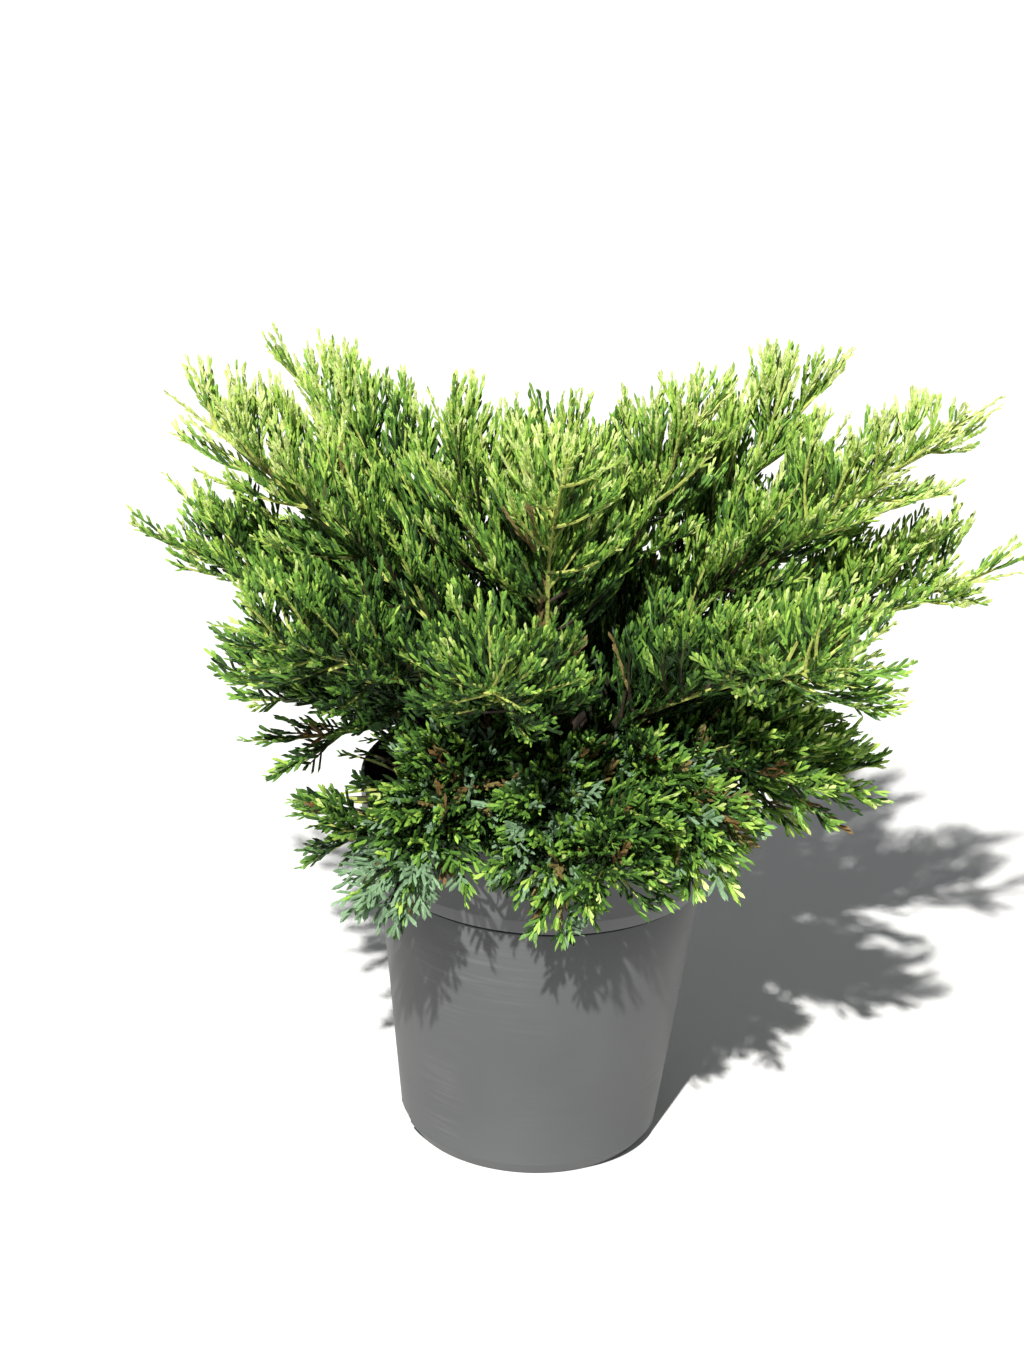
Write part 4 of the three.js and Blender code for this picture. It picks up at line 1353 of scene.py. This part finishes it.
def crumbs(count):
    """Crumbs of peat and chips of bark strewn over the soil, as arrays."""
    item = np.arange(count)
    radius = soil_rim(CRUMB_MARGIN) * np.sqrt(chance(0, 0, item, 30))
    angle = chance(0, 0, item, 31) * 2 * math.pi
    size = mix(*CRUMB_SIZES, chance(0, 0, item, 32) ** CRUMB_BIAS)
    chips = chance(0, 0, item, 33) > CHIP_FROM
    long = np.where(chips, size * CHIP_STRETCH, size)
    thin = np.where(chips, size * CHIP_THICKNESS, size * CRUMB_THICKNESS)
    height = soil_height(radius) + thin * CRUMB_RISE
    centre = np.stack([radius * np.cos(angle), radius * np.sin(angle), height], axis=1)
    turn = chance(0, 0, item, 34) * math.pi
    tilt = jitter(CRUMB_TILT, 0, 0, item, 35)
    ahead = np.stack([np.cos(turn) * np.cos(tilt), np.sin(turn) * np.cos(tilt), np.sin(tilt)], axis=1)
    level, upward = cross_axes(ahead)
    corners = []
    for side in range(CRUMB_SIDES):
        aside = side * 2 * math.pi / CRUMB_SIDES
        out = ahead * math.cos(aside) * column(long) + level * math.sin(aside) * column(size)
        corners.append(centre + out * column(mix(*CRUMB_DENTS, chance(0, side + 1, item, 36))))
    corners.append(centre + upward * column(thin))
    corners.append(centre - upward * column(thin))
    template = []
    for side in range(CRUMB_SIDES):
        after = (side + 1) % CRUMB_SIDES
        template += [(side, after, CRUMB_SIDES), (after, side, CRUMB_SIDES + 1)]
    points = np.stack(corners, axis=1)
    faces = repeated_faces(np.array(template), count, points.shape[1])
    slots = np.where(chips, 2, np.where(chance(0, 0, item, 37) > DRY_FROM, 1, 0))
    return points.reshape(-1, 3), faces, np.repeat(slots, len(template))


def make_soil(settings):
    """The soil's body with its uneven top, and the crumbs on it."""
    bed = drawn_up("soil_bed", SOIL_SIDES, soil_outline())

    def uneven(points):
        out = np.hypot(points[:, 0], points[:, 1])
        top = points[:, 2] > (SOIL_EDGE - 1) * MM
        bumps = np.array([noise.turbulence(Vector(point) * SOIL_BUMP_SIZE, 3, False) for point in points])
        fade = np.clip((RIM_RADIUS * MM - out) / (SOIL_FADE * MM), 0, 1)
        points[:, 2] += np.where(top, (bumps - SOIL_BUMP_MIDDLE) * SOIL_BUMP * MM * fade, 0)
        return points

    reshape(bed, uneven)
    peat = tuple(settings.colours.soil)
    dry = shaded(peat, DRY_PEAT_SHARE)
    colours = dict(peat=peat, dry_peat=dry, bark_chip=tuple(settings.colours.chip))
    soils = [finish(name, colour, **SOIL_FINISH) for name, colour in colours.items()]
    give_finish(bed, soils[0])
    hand_over(bed, "soil", "soil")
    strewn = mesh_piece("soil_crumbs", *crumbs(settings.soil.crumbs), soils)
    recalculate_normals(strewn)
    hand_over(strewn, "soil", "soil")


# Trunk and boughs.
def bark_relief(angle, along, seed, strips):
    """How far bark stands proud at an angle in radians and a length in millimetres, from about -1 to 1."""
    values = []
    for turn, length in zip(angle, along):
        proud = 0
        for round_it, along_it, depth in BARK_LAYERS:
            across = math.cos(turn) * strips * round_it
            aside = math.sin(turn) * strips * round_it
            proud += noise.noise(Vector((across, aside, length * along_it + seed))) * depth
        values.append(proud)
    return np.array(values)


def trunk_radius(above):
    """The trunk's radius at a height above the soil, before the flare's lobes."""
    stem = mix(TRUNK_RADIUS, TRUNK_TOP_RADIUS, above / TRUNK_HEIGHT)
    return stem + (TRUNK_FLARE_RADIUS - TRUNK_RADIUS) * np.exp(-2 * above / TRUNK_FLARE_HEIGHT)


def make_trunk(settings):
    """The trunk with its flare and its bark."""
    outline = [(1.0, share) for share in np.linspace(0, 1, TRUNK_RINGS)]
    outline += TRUNK_DOME
    trunk = drawn_up("trunk_wood", TRUNK_SIDES, outline)

    def place(points):
        share = np.clip(points[:, 2], 0, 1)
        above = share * TRUNK_HEIGHT
        crown = (points[:, 2] - share) * TRUNK_HEIGHT
        angle = np.arctan2(points[:, 1], points[:, 0])
        spread = np.hypot(points[:, 0], points[:, 1])
        lobe = 1 + FLARE_LOBE_DEPTH * np.exp(-above / TRUNK_FLARE_HEIGHT) * np.cos(FLARE_LOBES * angle)
        proud = bark_relief(angle, above, TRUNK_SEED, TRUNK_STRIPS) * settings.wood.trunk_relief / MM
        radius = (trunk_radius(above) * lobe + proud) * spread
        height = above + crown + SOIL_TOP + GAP
        made = np.stack([radius * np.cos(angle), radius * np.sin(angle), height], axis=1)
        made[:, 0] += TRUNK_LEAN[0] * above
        made[:, 1] += TRUNK_LEAN[1] * above
        return made * MM

    reshape(trunk, place)
    smooth_by_angle(trunk, TRUNK_SHARP_EDGE)
    give_finish(trunk, bark_material(settings.colours))
    hand_over(trunk, "bark", "trunk")


def make_bough(limb, settings):
    """One bough, from the trunk to where it enters its mass."""
    outline = [(1.0, share) for share in np.linspace(0, 1, BOUGH_RINGS)]
    bough = drawn_up(f"limb_{limb['name']}", BOUGH_SIDES, outline)
    seed = limb["id"] * BOUGH_SEED_STEP

    def place(points):
        share = points[:, 2] * (BOUGH_SHARE + BOUGH_TUCK)
        along = share * limb["curve"].length
        angle = np.arctan2(points[:, 1], points[:, 0])
        axes = cross_axes(limb["curve"].along(share))
        proud = bark_relief(angle, along, seed, BOUGH_STRIPS) * settings.wood.bough_relief / MM
        swell = BOUGH_SWELL * np.exp(-along / BOUGH_SWELL_LENGTH)
        out = around(axes, angle) * column(limb_radius(share) + proud + swell)
        return (limb["curve"].points(share) + out) * MM

    reshape(bough, place)
    recalculate_normals(bough)
    smooth_by_angle(bough, BOUGH_SHARP_EDGE)
    give_finish(bough, bark_material(settings.colours))
    hand_over(bough, "bark", f"bough_{limb['name']}")


# Foliage.
def tier_plumes(tier, settings):
    """The plumes of a tier's limbs."""
    return [plume for plume in grown_plumes(settings.foliage.shoots) if plume["limb"]["tier"] is tier]


def tier_limbs(tier):
    """A tier's limbs, in order."""
    return [limb for limb in LIMBS if limb["tier"] is tier]


def limb_leaves(limb, plumes, look):
    """All sprays and fingers of one limb, as arrays."""
    own = [plume for plume in plumes if plume["limb"] is limb]
    sprays = seated_sprays(stacked([plume_sprays(plume, look) for plume in own]))
    fingers = stacked([spray_fingers(sprays, look)] + [whip_fingers(plume, look) for plume in own])
    return joined_arrays([spray_stem_arrays(sprays), finger_arrays(clear_fingers(fingers))])


def shared_out(parts, limit):
    """Groups of limbs' arrays in order, each group with fewer faces than the limit."""
    groups = [[]]
    size = 0
    for limb, arrays in parts:
        if groups[-1] and size + len(arrays[1]) > limit:
            groups.append([])
            size = 0
        groups[-1].append((limb, arrays))
        size += len(arrays[1])
    return groups


def foliage_piece(name, limbs, parts, materials):
    """A piece of foliage joined from arrays, which stands for the masses of its limbs."""
    piece = mesh_piece(name, *joined_arrays(parts), materials)
    slot = SLOT_OF_TIER[limbs[0]["tier"]["name"]]
    hand_over(piece, slot, *[f"foliage_{limb['name']}" for limb in limbs])


def make_sprays(settings):
    """The fingers and spray stems of every tier, joined into pieces."""
    materials = like_finishes(LEAF_COLOURS, settings.colours, LEAF_FINISH)
    for tier in TIERS:
        plumes = tier_plumes(tier, settings)
        parts = [(limb, limb_leaves(limb, plumes, settings.foliage)) for limb in tier_limbs(tier)]
        for index, group in enumerate(shared_out(parts, PIECE_LIMIT)):
            limbs, arrays = zip(*group)
            foliage_piece(f"sprays_{tier['name']}_{index + 1}", limbs, arrays, materials)


def make_twigs(settings):
    """The stems of all plumes, joined by tier."""
    materials = like_finishes(STEM_COLOURS, settings.colours, STEM_FINISH)
    for tier in TIERS:
        stems = [stem_arrays(plume) for plume in tier_plumes(tier, settings)]
        foliage_piece(f"twigs_{tier['name']}", tier_limbs(tier), stems, materials)


# Stage.
def make_floor(settings):
    """A wide pale floor."""
    clear_selection()
    bpy.ops.mesh.primitive_plane_add(size=settings.stage.floor_size, location=(0, 0, 0))
    floor = bpy.context.object
    floor.name = "floor"
    floor.data.materials.append(finish("pale_floor", tuple(settings.stage.floor_colour), **FLOOR_FINISH))


def make_lights(settings):
    """A high key light from the front, a little to the left, and pale light from all round."""
    key = bpy.data.lights.new("key", "SUN")
    key.energy = settings.stage.key_strength
    key.angle = settings.stage.key_softness
    key.color = KEY_COLOUR
    lamp = bpy.data.objects.new("key", key)
    bpy.context.scene.collection.objects.link(lamp)
    toward = Vector(heading(settings.stage.key_azimuth, settings.stage.key_rise))
    lamp.rotation_euler = toward.to_track_quat("Z", "Y").to_euler()
    world = bpy.data.worlds.new("studio")
    world.use_nodes = True
    back = world.node_tree.nodes["Background"]
    back.inputs["Color"].default_value = (*FILL_COLOUR, 1)
    back.inputs["Strength"].default_value = settings.stage.fill_strength
    bpy.context.scene.world = world
    bpy.context.scene.view_settings.view_transform = "Standard"


def make_camera():
    """The camera at the plant's own viewing angle."""
    data = bpy.data.cameras.new("camera")
    data.sensor_width = SENSOR
    data.lens = FOCAL_PIXELS / PICTURE_HEIGHT * SENSOR
    data.clip_end = CAMERA_FAR_METRES
    camera = bpy.data.objects.new("camera", data)
    bpy.context.scene.collection.objects.link(camera)
    turn = Matrix.Rotation(math.radians(-CAMERA_YAW), 4, "Z")
    turn = turn @ Matrix.Rotation(math.radians(90 - CAMERA_PITCH), 4, "X")
    turn = turn @ Matrix.Rotation(math.radians(CAMERA_ROLL), 4, "Z")
    camera.matrix_world = Matrix.Translation(Vector(CAMERA_PLACE) * MM) @ turn
    bpy.context.scene.camera = camera


# Settings.
def colour_property(name, description, default):
    """A colour that a user may change."""
    return FloatVectorProperty(
        name=name, description=description, subtype="COLOR", size=3, min=0, max=1, default=default,
    )


def length_property(name, description, millimetres):
    """A length that a user may change."""
    return FloatProperty(
        name=name, description=description, default=millimetres * MM, min=0, precision=4,
        unit="LENGTH", subtype="DISTANCE",
    )


class JuniperPotSettings(PropertyGroup):
    """The pot's mesh."""

    sides: IntProperty(name="Sides", description="Segments round the wall", default=96, min=24, max=256)


class JuniperSoilSettings(PropertyGroup):
    """The soil's mesh."""

    crumbs: IntProperty(name="Crumbs", description="Crumbs and chips on the soil", default=2600, min=10)


class JuniperWoodSettings(PropertyGroup):
    """The bark's relief."""

    trunk_relief: length_property("Trunk relief", "How far the trunk's bark stands proud", 0.55)
    bough_relief: length_property("Bough relief", "How far the boughs' bark stands proud", 0.22)


class JuniperFoliageSettings(PropertyGroup):
    """How many shoots there are, and how large sprays and fingers are."""

    shoots: IntProperty(name="Shoots", description="Side shoots tried on each limb", default=40, min=1)
    spray_pitch: length_property("Spray pitch", "Distance between sprays along a plume", 4.8)
    spray_length: length_property("Spray length", "Length of a spray at a plume's foot", 30)
    finger_pitch: length_property("Finger pitch", "Distance between fingers along a spray", 3.2)
    finger_length: length_property("Finger length", "Length of a spray's longest fingers", 10.5)
    finger_width: length_property("Finger width", "Breadth of a finger with its scale leaves", 1.8)


class JuniperColours(PropertyGroup):
    """Plain base colours of all finishes."""

    # The greens are picked by tone: the darker ones mostly as painted shade inside the crown and at its
    # lower left, the lighter ones as painted light on top, and outward also for younger growth.
    shade_green: colour_property("Shade green", "Oldest foliage, deep inside", (0.015, 0.042, 0.009))
    deep_green: colour_property("Deep green", "Old foliage", (0.045, 0.115, 0.019))
    mid_green: colour_property("Mid green", "Grown foliage", (0.11, 0.245, 0.036))
    fresh_green: colour_property("Fresh green", "Foliage of this year", (0.215, 0.41, 0.06))
    light_green: colour_property("Light green", "Young foliage", (0.4, 0.6, 0.1))
    lime_green: colour_property("Lime green", "Youngest tips", (0.62, 0.74, 0.25))
    blue_green: colour_property("Blue green", "Bloomed foliage of the low skirt", (0.21, 0.34, 0.19))
    straw: colour_property("Straw", "Drying sprays", (0.22, 0.17, 0.06))
    rust: colour_property("Rust", "Dead sprays", (0.19, 0.115, 0.04))
    # Inner stems are brown, made near black as painted shade inside the crown.
    twig_brown: colour_property("Brown stem", "Woody inner stems", (0.036, 0.025, 0.014))
    twig_olive: colour_property("Olive stem", "Stems that turn woody", (0.09, 0.11, 0.028))
    twig_lime: colour_property("Lime stem", "Young outer stems", (0.52, 0.58, 0.14))
    # Bark is brown, made near black as painted shade inside the crown.
    bark: colour_property("Bark", "Bark of trunk and boughs", (0.036, 0.025, 0.018))
    soil: colour_property("Soil", "Damp potting mix", (0.022, 0.015, 0.01))
    chip: colour_property("Chip", "Bark chips in the mix", (0.09, 0.05, 0.028))
    pot: colour_property("Pot", "Grey plastic", (0.084, 0.0875, 0.09))
    pot_scuff: colour_property("Pot scuff", "Pale rubbed marks on the pot", (0.3, 0.3, 0.3))


class JuniperStageSettings(PropertyGroup):
    """Floor and light."""

    floor_size: FloatProperty(
        name="Floor size", description="Side of the floor", default=24, min=1,
        unit="LENGTH", subtype="DISTANCE",
    )
    floor_colour: colour_property("Floor colour", "Pale floor", (0.8, 0.8, 0.8))
    key_strength: FloatProperty(
        name="Key strength", description="Strength of the key light", default=6.1, min=0,
    )
    key_softness: FloatProperty(
        name="Key softness", description="Angle that the key light fills", default=math.radians(1.2),
        min=0, subtype="ANGLE",
    )
    key_azimuth: FloatProperty(name="Key azimuth", description="Degrees round from the right", default=257)
    key_rise: FloatProperty(name="Key rise", description="Degrees above the floor", default=46)
    fill_strength: FloatProperty(name="Fill strength", description="Strength of the pale light", default=0.2)


class JuniperSettings(PropertyGroup):
    """All of the plant's settings."""

    pot: PointerProperty(type=JuniperPotSettings)
    soil: PointerProperty(type=JuniperSoilSettings)
    wood: PointerProperty(type=JuniperWoodSettings)
    foliage: PointerProperty(type=JuniperFoliageSettings)
    colours: PointerProperty(type=JuniperColours)
    stage: PointerProperty(type=JuniperStageSettings)


# Operators.
class JUNIPER_OT_pot(Operator):
    """Make the pot's shell with its collar, groove, slots and drain holes"""

    bl_idname = "juniper.pot"
    bl_label = "Pot"

    def execute(self, context):
        make_pot(context.scene.juniper)
        return {"FINISHED"}


class JUNIPER_OT_soil(Operator):
    """Make the soil and the crumbs on it"""

    bl_idname = "juniper.soil"
    bl_label = "Soil"

    def execute(self, context):
        make_soil(context.scene.juniper)
        return {"FINISHED"}


class JUNIPER_OT_trunk(Operator):
    """Make the trunk with its bark"""

    bl_idname = "juniper.trunk"
    bl_label = "Trunk"

    def execute(self, context):
        make_trunk(context.scene.juniper)
        return {"FINISHED"}


class JUNIPER_OT_boughs(Operator):
    """Make every bough with its bark"""

    bl_idname = "juniper.boughs"
    bl_label = "Boughs"

    def execute(self, context):
        for limb in LIMBS:
            if limb["tier"]["name"] != "top":
                make_bough(limb, context.scene.juniper)
        return {"FINISHED"}


class JUNIPER_OT_twigs(Operator):
    """Make the stems of every plume"""

    bl_idname = "juniper.twigs"
    bl_label = "Twigs"

    def execute(self, context):
        make_twigs(context.scene.juniper)
        return {"FINISHED"}


class JUNIPER_OT_sprays(Operator):
    """Make the sprays of scale leaves on every plume"""

    bl_idname = "juniper.sprays"
    bl_label = "Sprays"

    def execute(self, context):
        make_sprays(context.scene.juniper)
        return {"FINISHED"}


class JUNIPER_OT_stage(Operator):
    """Make the floor, the lights and the camera"""

    bl_idname = "juniper.stage"
    bl_label = "Stage"

    def execute(self, context):
        make_floor(context.scene.juniper)
        make_lights(context.scene.juniper)
        make_camera()
        return {"FINISHED"}


STEPS = (
    JUNIPER_OT_pot, JUNIPER_OT_soil, JUNIPER_OT_trunk, JUNIPER_OT_boughs, JUNIPER_OT_twigs,
    JUNIPER_OT_sprays, JUNIPER_OT_stage,
)


class JUNIPER_PT_panel(Panel):
    """The plant's steps and settings"""

    bl_idname = "JUNIPER_PT_panel"
    bl_label = "Potted juniper"
    bl_space_type = "VIEW_3D"
    bl_region_type = "UI"
    bl_category = "Juniper"

    def draw(self, context):
        settings = context.scene.juniper
        for step in STEPS:
            self.layout.operator(step.bl_idname)
        for part in settings.__annotations__:
            group = getattr(settings, part)
            box = self.layout.box()
            for name in group.__annotations__:
                box.prop(group, name)


CLASSES = (
    JuniperPotSettings, JuniperSoilSettings, JuniperWoodSettings, JuniperFoliageSettings, JuniperColours,
    JuniperStageSettings, JuniperSettings, *STEPS, JUNIPER_PT_panel,
)


def register():
    """Registers the classes and the scene's settings."""
    for each in CLASSES:
        bpy.utils.register_class(each)
    bpy.types.Scene.juniper = PointerProperty(type=JuniperSettings)


def unregister():
    """Removes the scene's settings and the classes."""
    del bpy.types.Scene.juniper
    for each in reversed(CLASSES):
        bpy.utils.unregister_class(each)


def main():
    """Makes the plant and its stage."""
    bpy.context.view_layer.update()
    register()
    bpy.ops.juniper.pot()
    bpy.ops.juniper.soil()
    bpy.ops.juniper.trunk()
    bpy.ops.juniper.boughs()
    bpy.ops.juniper.twigs()
    bpy.ops.juniper.sprays()
    bpy.ops.juniper.stage()


if __name__ == "__main__":
    main()
